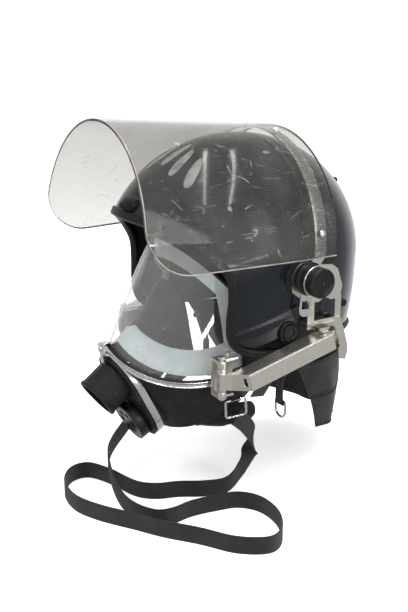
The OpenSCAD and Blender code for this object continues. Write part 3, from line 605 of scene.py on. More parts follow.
PAINT = paint_finish()
INSIDE = inside_finish()
EDGE_RUBBER = rubber_finish("black_rubber", 0.009, 0.42, 0.012, 0.35)
MASK_RUBBER = rubber_finish("mask_rubber", 0.008, 0.52, 0.015, 0.5)
GREY_RUBBER = rubber_finish("grey_rubber", 0.028, 0.45, 0.008, 0.2)
PLASTIC = plastic_finish()
NICKEL = steel_finish("nickel_steel", (0.93, 0.895, 0.82), (0.74, 0.70, 0.61), 0.32, 0.06, 0.5)
BRIGHT = steel_finish("bright_steel", (0.93, 0.92, 0.89), (0.74, 0.72, 0.68), 0.24, 0.05, 0.4)
WEBBING = webbing_finish()
LEATHER = leather_finish()
PILE = pile_finish()
FOAM = foam_finish()
REFLECTIVE = reflective_finish()
SILICONE = silicone_finish()
VISOR_CLEAR = clear_finish("clear_visor", (0.75, 0.747, 0.733), 0.032, (0.62, 0.62, 0.60), 1.0, 0.018, 0.06)
LENS_CLEAR = clear_finish("clear_lens", (0.93, 0.94, 0.94), 0.05, (0.7, 0.7, 0.69), 0.6, 0.09, 0.05)
VISOR_EDGE = rim_finish("visor_edge", (0.035, 0.026, 0.025), (0.12, 0.095, 0.085))
# pale opaque border on the visor's edges: a painted highlight for the light a rounded edge catches
VISOR_PAINTED_HIGHLIGHT = rim_finish("visor_painted_highlight", (0.22, 0.20, 0.18), (0.40, 0.37, 0.33))


# ---- carrying strap ---------------------------------------------------------------------------

# Route of the strap's middle line: down from the right buckle, over the floor, up to the left buckle.
STRAP_DOWN = [(-88, -64, -157), (-86, -70, -172), (-76, -92, -196), (-58, -124, -210), (-36, -152, -216),
              (-12, -171, -219), (18, -182, -230), (48, -187, -239)]
STRAP_LAID = [(78, -186), (102, -175), (108, -158), (106, -134), (110, -106), (118, -80), (140, -66),
              (172, -68), (200, -84), (210, -106), (192, -134), (158, -156), (126, -180), (96, -198),
              (60, -220), (26, -232), (-10, -227), (-34, -208), (-34, -186), (-6, -172), (34, -162),
              (52, -146), (62, -122), (76, -98), (82, -72)]
STRAP_UP = [(74, -48, -232), (72, -34, -214), (80, -36, -190), (86, -50, -170), (88, -64, -157)]
STRAP_ROUTE = STRAP_DOWN + [(x, y, FLOOR_Z + STRAP_W / 2) for x, y in STRAP_LAID] + STRAP_UP


def webbing_section(width, thick):
    return pill_section(thick, width, thick * 0.45, 3)


def make_strap():
    path = curve(STRAP_ROUTE, 10)
    up = Vector((0, 0, 1))
    outs = [tangent(path, i).cross(up).normalized() for i in range(len(path))]
    form = Form().sweep(path, outs, webbing_section(STRAP_W, STRAP_T))
    strap = form.make("webbing_strap", "mask", WEBBING, "webbing", ["carry_strap"])


make_strap()


# ---- helmet -----------------------------------------------------------------------------------

RIM_HALF = [(0, -153, 64), (46, -142, 60), (73, -123, 50), (92, -102, 33), (103, -84, 9), (106, -82, -16),
            (108, -86, -44), (109, -85, -66), (111, -74, -79), (113, -50, -84), (115, -8, -87),
            (110, 48, -89), (86, 98, -91), (46, 127, -93), (0, 137, -94)]
RIM_SIDE = curve(RIM_HALF, 8)
RIM = RIM_SIDE + [Vector((-p.x, p.y, p.z)) for p in RIM_SIDE[-2:0:-1]]
CROWN_POLE = Vector((0, 0.6, 0.8))
CENTRE = Vector((0, SHELL_Y, 0))


def shell_point(d, out):
    """The point of the shell's form in direction d from its centre, moved out."""
    high = (SHELL_TOP if d[2] > 0 else SHELL_LOW) + out
    k = 1 / math.sqrt((d[0] / (SHELL_HALF[0] + out)) ** 2 + (d[1] / (SHELL_HALF[1] + out)) ** 2
                      + (d[2] / high) ** 2)
    return Vector(d) * k + CENTRE


def dome_point(q, t, out):
    """A point at t between the crown and rim point q."""
    d = (q - CENTRE).normalized()
    wide = math.acos(CROWN_POLE.dot(d))
    at = (math.sin((1 - t) * wide) * CROWN_POLE + math.sin(t * wide) * d) / math.sin(wide)
    return shell_point(at, out)


def cheek_relief(p):
    """How far the moulded panel on each cheek sinks below the shell's form."""
    side = smoothstep(60, 95, abs(p.x))
    fold = -44 + 0.27 * (p.y + 40)
    below = smoothstep(3.0, -3.0, p.z - fold)
    front = smoothstep(-92, -70, p.y) * smoothstep(34, 14, p.y)
    return 1.5 * side * below * front


def make_shell():
    rows = 64
    outer = []
    inner = []
    for i in range(1, rows + 1):
        t = i / rows
        ring = [dome_point(q, t, 0) for q in RIM]
        outer.append([p - cheek_relief(p) * (p - CENTRE).normalized() for p in ring])
        inner.append([dome_point(q, t, -SHELL_WALL) for q in RIM])
    form = Form().shell(outer, inner, wrap=True, inner_finish=1, edge_finish=1)
    n = len(RIM)
    caps = ((0, shell_point(CROWN_POLE, 0), 0), (rows * n, shell_point(CROWN_POLE, -SHELL_WALL), 1))

    # the crown's small hole is closed with a fan on each face, and its wall is left out
    def in_wall(face):
        return (all(c < n or rows * n <= c < rows * n + n for c in face)
                and len({c // n for c in face}) > 1)

    form.keep_faces(lambda face: not in_wall(face))
    for start, tip, finish in caps:
        form.points.append(tip)
        for k in range(n):
            form.face([start + k, start + (k + 1) % n, len(form.points) - 1], finish=finish)
    form.make("crown_shell", "helmet", [PAINT, INSIDE], "shell_paint", ["helmet_shell"],
              edge=0.8, angle=50)


def make_trim():
    """Rubber channel over the rim: rounded outside, with a fine lip on the shell's face."""
    middle = [dome_point(q, 1, -SHELL_WALL / 2) for q in RIM]
    outs = [p - CENTRE for p in middle]
    section = [(4.3, -4.4), (4.6, -2), (4.6, 1.5), (4.4, 3.4), (3.2, 4.7), (1.2, 5.2), (-1.2, 5.2),
               (-3.2, 4.7), (-4.4, 3.2), (-4.6, 1), (-4.6, -2.5), (-4.0, -4.6), (-2.9, -5.0), (-2.2, -4.4),
               (-2.1, -3.0), (2.1, -3.0), (2.2, -4.4), (3.0, -5.1)]
    form = Form().sweep(middle, outs, section, closed=True)
    form.make("edge_trim", "helmet", EDGE_RUBBER, "black_rubber", ["shell_edge_trim"], edge=0.3, angle=35)


def liner_pillow(t, k, count):
    """Height of the liner's sewn pads over its channels: eight round the head, three down."""
    across = abs(math.sin(math.pi * 8 * k / count))
    down = abs(math.sin(math.pi * 3 * t))
    return 2.2 * min(1, 2.2 * across) * min(1, 2.2 * down)


def make_liner():
    path = RIM[::2]
    n = len(path)
    steps = span(0.12, 0.84, 42)
    outer = [[dome_point(q, t, -5.2) for q in path] for t in steps]
    inner = [[dome_point(q, t, -14.4 - liner_pillow((t - 0.12) / 0.72, k, n)) for k, q in enumerate(path)]
             for t in steps]
    liner = Form().shell(outer, inner, wrap=True).make("foam_liner", "helmet", FOAM, "liner_foam",
                                                       ["impact_liner"], edge=2.0, angle=50, segments=3)


def make_headband():
    """A padded sweatband, with the rear strap that the dial draws in."""
    def at(a, out, z):
        return Vector(((80 + out) * cosd(a), SHELL_Y + (94 + out) * sind(a), z))

    rings = []
    for k in range(120):
        a = 3 * k
        puff = 0.5 + 0.5 * abs(sind(6 * a))
        section = [(0, 42.6), (0, 67.4), (-0.6, 68), (-1.8, 67.6), (-1.8 - 0.6 * puff, 61),
                   (-1.8 - 0.8 * puff, 55), (-1.8 - 0.6 * puff, 49), (-1.8, 42.4), (-0.6, 42)]
        rings.append([at(a, out, z) for out, z in section])
    Form().solid(rings, closed=True).make("sweatband", "helmet", LEATHER, "curtain_leather", ["headband"],
                                          edge=0.3, angle=45)


def make_crown_straps():
    form = Form()
    for k in range(3):
        turn = 30 + 60 * k
        path = [shell_point((sind(a) * cosd(turn), sind(a) * sind(turn), cosd(a)), -20.6 - 2.4 * k)
                for a in span(-68, 68, 48)]
        form.sweep(path, [p - CENTRE for p in path], webbing_section(18, 1.5))
    form.make("cradle_straps", "helmet", WEBBING, "webbing", ["crown_straps"])


def make_beak():
    """The brow catch: a blunt point with a turned-up lip, wide where it meets the shell."""
    stations = [(-154.6, 71.8, 73.0, 2.6), (-153.4, 70.4, 74.8, 4.2), (-150, 69.3, 77.0, 7.6),
                (-145, 69.3, 79.4, 11.4), (-140, 70.5, 81.8, 13.8), (-134.5, 76.5, 81.5, 15.6)]
    rings = []
    for y, low, high, half in stations:
        ring = []
        for k in range(24):
            a = 15 * k
            cx, cz = cosd(a), sind(a)
            box = 1 / max(abs(cx), abs(cz)) ** 0.72
            sag = 1.4 * (cx * box) ** 2
            ring.append(Vector((half * cx * box, y, (low + high) / 2 + (high - low) / 2 * cz * box - sag)))
        rings.append(ring)
    Form().solid(rings).make("brow_catch", "helmet", EDGE_RUBBER, "black_rubber", ["brow_beak"],
                             edge=0.5, angle=45)


def make_bosses():
    """Ringed plugs on the cheeks, with a small plug behind each."""
    cheek = [(111, 0), (111, 13), (114.6, 13), (116.1, 12.6), (116.5, 11.8), (116.5, 10.6), (115.8, 10.2),
             (115.8, 9.6), (117.6, 9.4), (118.2, 8.8), (118.2, 6.6), (117.6, 5.6), (116.4, 5.2), (116.2, 0)]
    plug = [(91, 0), (91, 4.5), (96.4, 4.5), (97.3, 4.0), (97.5, 3.2), (97.1, 1.6), (96.9, 0)]
    form = Form()
    for profile, y, z in ((cheek, -15, -61), (plug, 76, -48)):
        form.add(Form().lathe(profile, 48).place(Matrix.Translation((0, y, z))))
    form.both_sides().make("cheek_bosses", "helmet", EDGE_RUBBER, "black_rubber", ["side_bosses"],
                           edge=0.2, angle=35)


def make_marks():
    """Five plain reflective bars."""
    form = Form()
    for k in range(-2, 3):
        tilt = 50 - 4 * abs(k)
        outer = []
        for i in range(25):
            e = tilt + 17 * i / 24
            half = 2.4 * (1 + 0.5 * sind(7.5 * i)) * math.sqrt(clamp(1 - ((i - 12) / 12.4) ** 6))
            outer.append([shell_point((sind(14 * k + half * w) * cosd(e), -cosd(14 * k + half * w) * cosd(e),
                                       sind(e)), 0.55) for w in span(-1, 1, 8)])
        inner = [[p - 0.45 * (p - CENTRE).normalized() for p in row] for row in outer]
        form.shell(outer, inner)
    form.make("crown_marks", "helmet", REFLECTIVE, "reflective", ["reflective_marks"])


# ---- curtain and chin -------------------------------------------------------------------------

CURTAIN_TAPER = 0.2   # share of its width that the curtain loses towards the bottom
ROLL_AT = 0.19
ROLL_R = 3.4


def curtain_point(b, s):
    c = b * (1 - CURTAIN_TAPER * s)
    top = Vector((105 * sind(c), 2 + 121 * cosd(c), -86 - 5 * cosd(c)))
    low = Vector((84 * sind(c), 30 + 98 * cosd(c), -197 - 20 * cosd(c)))
    return mix(top, low, s) + 5 * sind(180 * s) * behind(c)


def curtain_fold(b, s):
    """Soft hanging folds and a few slanted creases, in millimetres outward; none under the piping."""
    fall = 2.6 * s ** 1.3 * math.sin(math.radians(b * 5.2 + 30)) + 1.3 * s * sind(b * 11 + 70)
    crease = 0.8 * noise.noise(Vector((b * 0.05, s * 2.4 + b * 0.015, 3.1)))
    seam = -1.3 * math.exp(-((s - 0.6) / 0.012) ** 2)
    hem = -0.9 * math.exp(-((s - 0.955) / 0.008) ** 2)
    return fall + crease + seam + hem


def make_curtain():
    angles = span(-94, 94, 150)
    steps = span(0, 1, 84)

    def at(b, s, out):
        return curtain_point(b, s) + (curtain_fold(b, s) * smoothstep(0.22, 0.4, s) - 0.8 + out) * behind(b)

    outer = [[at(b, s, 0) for b in angles] for s in steps]
    inner = [[at(b, s, -2.4) for b in angles] for s in steps]
    curtain = Form().shell(outer, inner).make("leather_curtain", "helmet", LEATHER, "curtain_leather",
                                              ["neck_curtain"], edge=0.7, angle=50)
    stitches = Form()
    for s in (0.585, 0.615, 0.975):
        for i in range(2, 148):
            a, b = at(angles[i], s, 0.1), at(mix(angles[i], angles[i + 1], 0.62), s, 0.1)
            out = behind(angles[i])
            side = (b - a).normalized().cross(out)
            ring = [(0.25, 0.3), (-0.25, 0.3), (-0.25, -0.3), (0.25, -0.3)]
            middle = (a + b) / 2 + 0.25 * out
            stitches.solid([[p + w * side + h * out for w, h in ring] for p in (a, middle, b)])
    thread = stitches.make("curtain_stitches", "helmet", WEBBING, "webbing")
    roll = [curtain_point(b, ROLL_AT) + (ROLL_R + 0.2) * behind(b) for b in angles]
    piping = Form().sweep(roll, [Vector((0, 0, 1))] * len(roll), round_section(ROLL_R, 16))
    piping = piping.make("piping_roll", "helmet", LEATHER, "curtain_leather", ["curtain_piping"],
                         edge=0.5, angle=60)


def pad_mid(g):
    return Vector((70 * sind(g), -24 - 66 * cosd(g), -160 - 12 * cosd(g)))


def make_chin_pad():
    angles = span(-88, 88, 44)
    path = [pad_mid(g) for g in angles]

    def section(t):
        end = math.sqrt(clamp(1 - abs(2 * t - 1) ** 8)) * 0.35 + 0.65
        return [(5.4 * end * cosd(a), 14.5 * end * math.copysign(abs(sind(a)) ** 0.75, sind(a)))
                for a in range(0, 360, 15)]

    form = Form().sweep(path, [around(g) for g in angles], section)
    pad = form.make("chin_cushion", "helmet", PILE, "pad_fabric", ["chin_pad"])
    inflate(pad, voxel=4.5, pressure=3.0, cap=1.6)
    rounder = pad.modifiers.new("smooth", "SUBSURF")
    rounder.levels = 1
    rounder.render_levels = 1


def inflate(obj, voxel, pressure, cap):
    """Swells a cushion by cloth simulation, moving no point further than cap millimetres."""
    scene = bpy.context.scene
    materials = list(obj.data.materials)
    remesh = obj.modifiers.new("remesh", "REMESH")
    remesh.mode = "VOXEL"
    remesh.voxel_size = voxel * MM
    graph = bpy.context.evaluated_depsgraph_get()
    rest = bpy.data.meshes.new_from_object(obj.evaluated_get(graph))
    cloth_object = bpy.data.objects.new("swelling", rest.copy())
    scene.collection.objects.link(cloth_object)
    cloth = cloth_object.modifiers.new("cloth", "CLOTH")
    cloth.settings.use_pressure = True
    cloth.settings.uniform_pressure_force = pressure
    cloth.settings.effector_weights.gravity = 0
    cloth.settings.quality = 6
    for step in range(1, 21):
        scene.frame_set(step)
    graph = bpy.context.evaluated_depsgraph_get()
    swollen = bpy.data.meshes.new_from_object(cloth_object.evaluated_get(graph))
    for before, after in zip(rest.vertices, swollen.vertices):
        move = after.co - before.co
        if move.length > cap * MM:
            move *= cap * MM / move.length
        before.co += move
    scene.frame_set(1)
    bpy.data.objects.remove(cloth_object)
    obj.modifiers.clear()
    rest.name = obj.name + "_swollen"
    rest.materials.clear()
    for material in materials:
        rest.materials.append(material)
    rest.shade_smooth()
    obj.data = rest


def make_chin_straps():
    path = curve([(71, -24, -148), (83, -22, -128), (94, -20, -105), (103, -20, -84)], 8)
    form = Form().sweep(path, [Vector((0.9, 0, 0.4))] * len(path), webbing_section(18, 1.6))
    form.both_sides().make("chin_webbing", "helmet", WEBBING, "webbing", ["chin_straps"])


def make_ring_tabs():
    """A leather loop round the bar of each D-ring."""
    ring_at = Vector((76, 6, -160))
    loop = [(3.1 * cosd(a) - 0.3, 3.1 * sind(a)) for a in span(-180, 90, 18)]
    loop = ([(-3.4, 29.5), (-3.4, 16), (-3.4, 4)] + loop
            + [(-0.6, 3.4), (-0.9, 8), (-1.0, 16), (-1.0, 29.5)])
    inner = []
    wall = 1.1
    path = [Vector((0, y, z)) for y, z in loop]
    for i, p in enumerate(path):
        t = tangent(path, i)
        inner.append(p + wall * Vector((0, -t.z, t.y)))
    rows, back = ([[Vector((x, p.y, p.z)) for x in span(-5.8, 5.8, 6)] for p in line]
                  for line in (path, inner))
    form = Form().shell(rows, back)
    # upper length, which leans outwards to the curtain
    lean = [(0, 27), (1.2, 30.5), (5, 37), (13.6, 50.2), (22.2, 63.2)]
    upper = curve([(x, -2.1, z) for x, z in lean], 6)
    form.sweep(upper, [Vector((0, -1, 0))] * len(upper), pill_section(2.4, 11.8, 0.6, 2))
    form.place(Matrix.Translation(ring_at)).both_sides()
    form.make("ring_loops", "helmet", LEATHER, "curtain_leather", ["ring_tabs"], edge=0.35)


# ---- visor ------------------------------------------------------------------------------------

VISOR_FRAME = Matrix.Rotation(-VISOR_TILT, 4, "X")


def visor_edge(y):
    """Height of the visor's lower edge at y: a round front corner, then a slow rise to the rear."""
    y0 = VISOR_CORNER - VISOR_FRONT
    z0 = VISOR_LOW + VISOR_SLOPE * VISOR_CORNER + VISOR_CORNER * math.sqrt(1 + VISOR_SLOPE ** 2)
    touch = y0 + VISOR_CORNER * math.sin(math.atan(VISOR_SLOPE))
    if y < touch:
        return z0 - math.sqrt(max(0, VISOR_CORNER ** 2 - (y - y0) ** 2))
    return VISOR_LOW + VISOR_SLOPE * (y + VISOR_FRONT)


def arch_point(along, wall, y):
    """The point of the visor's arch at a distance along it from the top, wall inside its outer face."""
    quarter = math.pi / 2 * VISOR_R
    half = mix(VISOR_R, VISOR_NOSE, clamp((y + 10) / (10 - VISOR_FRONT))) - wall
    if abs(along) < quarter:
        a = along / VISOR_R
        return Vector((half * math.sin(a), y, VISOR_Z + (VISOR_R - wall) * math.cos(a)))
    return Vector((math.copysign(half, along), y, VISOR_Z - (abs(along) - quarter)))


def half_length(low):
    if low < VISOR_Z:
        return math.pi / 2 * VISOR_R + VISOR_Z - low
    return VISOR_R * math.acos((low - VISOR_Z) / VISOR_R)


def make_visor():
    y0 = VISOR_CORNER - VISOR_FRONT
    columns = [y0 - VISOR_CORNER * cosd(a) for a in span(0, 90, 14)] + span(y0, VISOR_REAR, 24)[1:]
    outer, inner = [], []
    for y in columns:
        reach = half_length(visor_edge(y))
        steps = [-1] + span(VISOR_HIGHLIGHT_BAND / reach - 1, 1 - VISOR_HIGHLIGHT_BAND / reach, 94) + [1]
        outer.append([arch_point(reach * w, 0, y) for w in steps])
        inner.append([arch_point(reach * w, VISOR_WALL, y) for w in steps])
    form = Form().shell(outer, inner, edge_finish=1)
    # the pale border of painted highlight along the edges: the first and last face of each column, and the
    # two front columns
    across = len(outer[0]) - 1
    for k in range(across * (len(columns) - 1)):
        if k % across in (0, across - 1) or k < 2 * across:
            form.finishes[k] = 2
    form.place(VISOR_FRAME).make("visor_shield", "visor", [VISOR_CLEAR, VISOR_EDGE, VISOR_PAINTED_HIGHLIGHT],
                                 "clear_visor", ["visor_sheet"], edge=0.5, angle=50)


def make_knob(side):
    """A dished rubber knob on a bright ring."""
    # (depth under the face, radius), from the rim to the dished middle and its hole
    dish = [(2.2, KNOB_R), (0.8, KNOB_R - 0.3), (0.15, KNOB_R - 1.1), (0, KNOB_R - 2.0), (0.6, KNOB_R - 3.0),
            (1.5, 11.5), (1.55, 9.4), (1.95, 9.0), (2.0, 6.4), (1.7, 6.0), (1.7, 2.6), (2.2, 1.8), (2.2, 0),
            (3.5, 0), (3.5, 3.2)]
    foot = [(1.5, 3.2), (1.5, 15.2), (2.4, 15.8)]
    rim = [(0, 9), (0, 16.4), (0.5, 17.0), (1.1, 17.0), (1.6, 16.5), (1.6, 9)]
    cap = [(KNOB_X + x, r) for x, r in foot] + [(KNOB_FACE - x, r) for x, r in dish]
    ring = [(KNOB_X + x, r) for x, r in rim]
    form = Form().lathe(cap, 72, 0).lathe(ring, 72, 1)
    if side == "right":
        form = Form().add(form, mirror=True)
    node = "knob_" + side
    form.make("grip_" + node, node, [EDGE_RUBBER, BRIGHT], "black_plastic", [node], edge=0.25, angle=30)


def make_drums():
    """Black drum with fine ribs between the visor and the knob."""
    x0 = VISOR_R - VISOR_WALL - 0.2 + 0.5
    profile = [(x0, 3.15), (x0, 17.4), (x0 + 0.5, 18), (x0 + 2.0, 18), (x0 + 2.5, 17.6), (x0 + 2.6, 16.2)]
    for k in range(5):
        x = x0 + 3.4 + 1.5 * k
        profile += [(x, 15.2), (x + 0.3, 16), (x + 0.9, 16), (x + 1.2, 15.2)]
    profile += [(137.6, 15.6), (138, 15.0), (138, 3.15)]
    form = Form().lathe(profile, 64).both_sides()
    form.make("ribbed_drums", "visor_hub", PLASTIC, "black_plastic", ["hub_drums"], edge=0.15, angle=35)


# ---- mask -------------------------------------------------------------------------------------

def lens_low(a):
    return Vector((87 * sind(a), -53 - 117 * cosd(a), -79 - 30 * sind(1.45 * abs(a))))


def lens_high(a):
    return Vector((72 * sind(a), -57 - 47 * cosd(a), 32 - 51 * (1 - cosd(a))))


def lens_point(a, v):
    return mix(lens_low(a), lens_high(a), v) + 1.5 * sind(180 * v) * around(a)


LENS_ANGLES = span(-90, 90, 72)
LENS_LOOP = ([lens_point(a, 0) for a in LENS_ANGLES] + [lens_point(90, v) for v in span(0, 1, 20)[1:-1]]
             + [lens_point(a, 1) for a in LENS_ANGLES[::-1]]
             + [lens_point(-90, v) for v in span(1, 0, 20)[1:-1]])


def make_lens():
    rows = span(0, 1, 40)
    grid = [[lens_point(a, v) for a in LENS_ANGLES] for v in rows]
    back = [[lens_point(a, v) - LENS_WALL * Vector((sind(a), -cosd(a), 0.35)).normalized()
             for a in LENS_ANGLES] for v in rows]
    Form().shell(grid, back).make("wide_lens", "mask", LENS_CLEAR, "clear_lens", ["mask_lens"],
                                  edge=0.4, angle=50)


def make_gasket():
    path = [q + 0.02 * (q - LENS_MID) for q in LENS_LOOP]
    section = [(2.4, -3.1), (2.6, -2.4), (2.6, -0.6), (2.2, 0.2), (2.6, 1.0), (2.6, 2.4), (2.3, 3.2),
               (1.6, 3.5), (-1.4, 3.5), (-2, 3.0), (-2, -3.0), (-1.4, -3.5), (1.6, -3.5)]
    form = Form().sweep(path, [q - LENS_MID for q in LENS_LOOP], section, closed=True)
    form.make("lens_seal", "mask", EDGE_RUBBER, "black_rubber", ["lens_gasket"], edge=0.3, angle=35)


def make_clamp_band():
    """Steel band with rolled edges round the lower half of the lens."""
    angles = span(-96, 96, 96)
    path = [lens_low(a) + 3.6 * around(a) + Vector((0, 0, -3)) for a in angles]
    section = [(0.2, -3.2), (0.9, -3.4), (1.7, -3.0), (1.9, -2.3), (1.3, -1.7), (1.15, 0), (1.3, 1.7),
               (1.9, 2.3), (1.7, 3.0), (0.9, 3.4), (0.2, 3.2), (0.15, 0)]
    form = Form().sweep(path, [around(a) for a in angles], section)
    form.make("lens_band", "mask", BRIGHT, "bright_steel", ["clamp_band"], edge=0.15, angle=35)


def plate(points, width, thick, steps=5):
    """A bent strip through side-view points (y, z), width wide across X."""
    path = curve([(0, y, z) for y, z in points], steps)
    outs = [tangent(path, i).cross(Vector((1, 0, 0))) for i in range(len(path))]
    return Form().sweep(path, outs, pill_section(thick, width, thick * 0.4, 2))


def make_clip():
    """The band's end clip, and the link that hangs from it to the port's band."""
    form = plate([(-172, -74.6), (-177, -74.2), (-181.4, -75.6), (-182.0, -80), (-181.6, -86),
                  (-178.6, -88.4), (-175, -88.0)], 12, 1.3)
    form.add(plate([(-180.6, -84), (-181.2, -89), (-180.4, -95), (-179.2, -98)], 7, 1.2))
    stud = Form().lathe([(0, 0), (0, 2.6), (1.0, 2.6), (1.8, 2.0), (2.1, 0)], 24)
    form.add(stud.place(Matrix.Translation((0, -182.4, -80.5)) @ Matrix.Rotation(-math.pi / 2, 4, "Z")))
    form.make("band_clip", "mask", BRIGHT, "bright_steel", ["clamp_clip"], edge=0.2, angle=40)


def body_low(a):
    return Vector((70 * sind(a), -50 - 63 * cosd(a), -150 - 35 * max(cosd(a), -0.3)))


def body_point(a, s):
    top = lens_low(a) + Vector((0, 0, -3))
    return mix(top, body_low(a), s) + 5 * sind(180 * s) * around(a)


def body_flow(a, s):
    """Soft moulded shapes of the rubber: a hollow beside the port and a bead along the lower edge."""
    hollow = -3.2 * math.exp(-((abs(a) - 52) / 15) ** 2) * sind(180 * clamp(s * 1.05))
    cheek = 2.4 * math.exp(-((abs(a) - 78) / 12) ** 2) * sind(180 * clamp(s))
    bead = 1.3 * math.exp(-((s - 0.97) / 0.03) ** 2)
    lip = 1.0 * math.exp(-((s - 0.03) / 0.03) ** 2)
    return hollow + cheek + bead + lip


PORT_FRAME = Matrix.Translation(PORT_AT) @ Matrix.Rotation(PORT_TURN, 4, "X")
NOZZLE_FRAME = Matrix.Translation(NOZZLE_AT) @ Matrix.Rotation(NOZZLE_TURN, 4, "X")


def make_mask_body():
    angles = span(-104, 104, 130)
    rows = span(0, 1, 44)
    to_port = PORT_FRAME.inverted()

    def at(a, s, deep):
        p = body_point(a, s)
        local = to_port @ p
        # clear of the port housing, the rubber keeps its own form
        near = smoothstep(44, 62, math.hypot(local.x, local.y * 0.75))
        return p + (body_flow(a, s) * near - deep) * around(a) + Vector((0, 0, 0.3 * s * deep))

    outer = [[at(a, s, 0) for a in angles] for s in rows]
    inner = [[at(a, s, 3.5) for a in angles] for s in rows]
    form = Form().shell(outer, inner)

    # the airway: faces well inside the port's outline are left out
    def off_airway(face):
        middle = to_port @ (sum((form.points[c] for c in face), Vector()) / len(face))
        beyond = max(0.0, abs(middle.y) - 18)
        return math.hypot(middle.x, beyond) > 31 or middle.z < -45 or middle.z > 14

    form.keep_faces(off_airway)
    form.make("mask_skirt", "mask", MASK_RUBBER, "mask_rubber", ["mask_body"], edge=0.8, angle=50)


def make_face_seal():
    """The pale inner lip that lies on the face."""
    def seal(q, w):
        middle = Vector((0.42 * q.x, LENS_MID.y, LENS_MID.z))
        return mix(q, middle, 0.05 + 0.33 * w) + Vector((0, 5 - 6 * w, 0))

    rows = span(0, 1, 12)
    outer = [[seal(q, w) for q in LENS_LOOP] for w in rows]
    inner = [[seal(q, w) + Vector((0, 2 - 0.8 * w, 0)) for q in LENS_LOOP] for w in rows]
    Form().shell(outer, inner, wrap=True).make("inner_lip", "mask", SILICONE, "pale_silicone", ["face_seal"],
                                               edge=0.5, angle=50)


def make_cup():
    """The nose and mouth cup."""
    def ring(w, wall):
        centre = mix(Vector((0, -136, -96)), Vector((0, -92, -66)), w)
        wide = mix(22, 39, w ** 0.6) - wall
        high = mix(22, 50, w ** 0.7) - wall
        bead = 0.7 * math.exp(-((w - 0.95) / 0.05) ** 2) if wall == 0 else 0
        return [centre + Vector(((wide + bead) * cosd(a), -8 * sind(a) * w, (high + bead) * sind(a)))
                for a in span(0, 360, 72)[:-1]]

    rows = span(0, 1, 28)
    form = Form().shell([ring(w, 0) for w in rows], [ring(w, 2.5) for w in rows], wrap=True)
    form.make("nose_cup", "mask", GREY_RUBBER, "grey_rubber", ["oronasal_cup"], edge=0.6, angle=50)


def make_nozzle():
    """The air inlet: a plain cylinder outside, a round thread inside."""
    wall = [(-34, NOZZLE_R), (-5, NOZZLE_R), (-4.2, NOZZLE_R + 0.8), (-1.0, NOZZLE_R + 1.0),
            (-0.2, NOZZLE_R + 0.6), (0, NOZZLE_R - 0.2), (0, NOZZLE_BORE + 1.2), (-0.6, NOZZLE_BORE + 0.3),
            (-1.2, NOZZLE_BORE)]
    pitch = 3.6
    turns = int((NOZZLE_DEPTH - 4) / pitch)
    for k in range(turns):
        z = -2 - pitch * k
        wall += [(z - pitch * w, NOZZLE_BORE + 0.7 - 0.7 * cosd(360 * w)) for w in span(0, 1, 8)[:-1]]
    wall += [(-NOZZLE_DEPTH, NOZZLE_BORE), (-NOZZLE_DEPTH, 12), (-34, 12)]
    form = Form().lathe(wall, 96)
    form.place(NOZZLE_FRAME @ Matrix.Rotation(-math.pi / 2, 4, "Y"))
    form.make("air_inlet", "mask", MASK_RUBBER, "mask_rubber", ["air_nozzle"], edge=0.3, angle=40)


for make in (make_shell, make_trim, make_liner, make_headband, make_crown_straps, make_beak, make_bosses,
             make_marks, make_curtain, make_chin_pad, make_chin_straps, make_ring_tabs, make_visor,
             make_drums, make_lens, make_gasket, make_clamp_band, make_clip, make_mask_body, make_face_seal,
             make_cup, make_nozzle):
    make()
for side in ("left", "right"):
    make_knob(side)


# ---- strap fittings ---------------------------------------------------------------------------

def make_lugs():
    path = curve([(95, -80, -104), (97, -77, -114), (96, -72, -124), (93, -69, -132)], 8)
    out = Vector((0.9, -0.3, 0.1))

    def section(t):
        thick = 1 + 0.45 * math.exp(-((t - 0.93) / 0.08) ** 2)
        return [(o * thick, s) for o, s in pill_section(4.6, 12, 1.4, 3)]

    form = Form().sweep(path, [out] * len(path), section).both_sides()
    form.make("rubber_lugs", "mask", MASK_RUBBER, "mask_rubber", ["strap_lugs"])


def make_buckles():
    top, low, half, wire = Vector((92.5, -68.5, -134)), Vector((88, -64, -156)), 11.5, 1.4
    along = (low - top).normalized()
    side = along.cross(Vector((0.9, -0.3, 0.1))).normalized()
    corner = 3
    path = []
    for q, (a, s) in enumerate([(0, 1), (0, -1), (1, -1), (1, 1)]):
        centre = low - corner * along if a else top + corner * along
        centre = centre + s * (half - corner) * side
        for k in range(7):
            turn = 90 * q + 15 * k
            path.append(centre + corner * (cosd(turn) * side - sind(turn) * along))
    form = Form().sweep(path, [along.cross(side)] * len(path), round_section(wire, 12), closed=True)
    form.both_sides().make("wire_buckles", "mask", BRIGHT, "bright_steel", ["strap_buckles"])


make_lugs()
make_buckles()


# ---- finishes of the CAD pieces that stay ------------------------------------------------------

def pair(name):
    return [name + "_left", name + "_right"]


KEPT = [
    (NICKEL, pair("pivot_bracket") + pair("mask_bracket") + pair("rail") + pair("slider")
     + pair("release_lever")),
    (BRIGHT, ["pivot_studs", "bracket_screws", "strikers", "visor_band", "visor_rivets", "port_band",
              "rail_pins", "exhale_spring"] + pair("d_ring") + pair("rail_spring")),
    (PLASTIC, ["dial_housing", "headband_dial", "pivot_bosses", "hub_carriers", "exhale_seat",
               "rear_hook", "exhale_cover"]),
    (MASK_RUBBER, ["port_housing"]),
    (GREY_RUBBER, ["check_valves", "exhale_disc"]),
]
SOFT_EDGE = {"rail_left": 0.5, "rail_right": 0.5, "port_housing": 1.6, "exhale_cover": 1.4,
             "rear_hook": 1.2, "headband_dial": 0.8, "pivot_bosses": 1.0}
NO_BEVEL = pair("rail_spring") + pair("d_ring") + ["exhale_spring", "visor_rivets"]


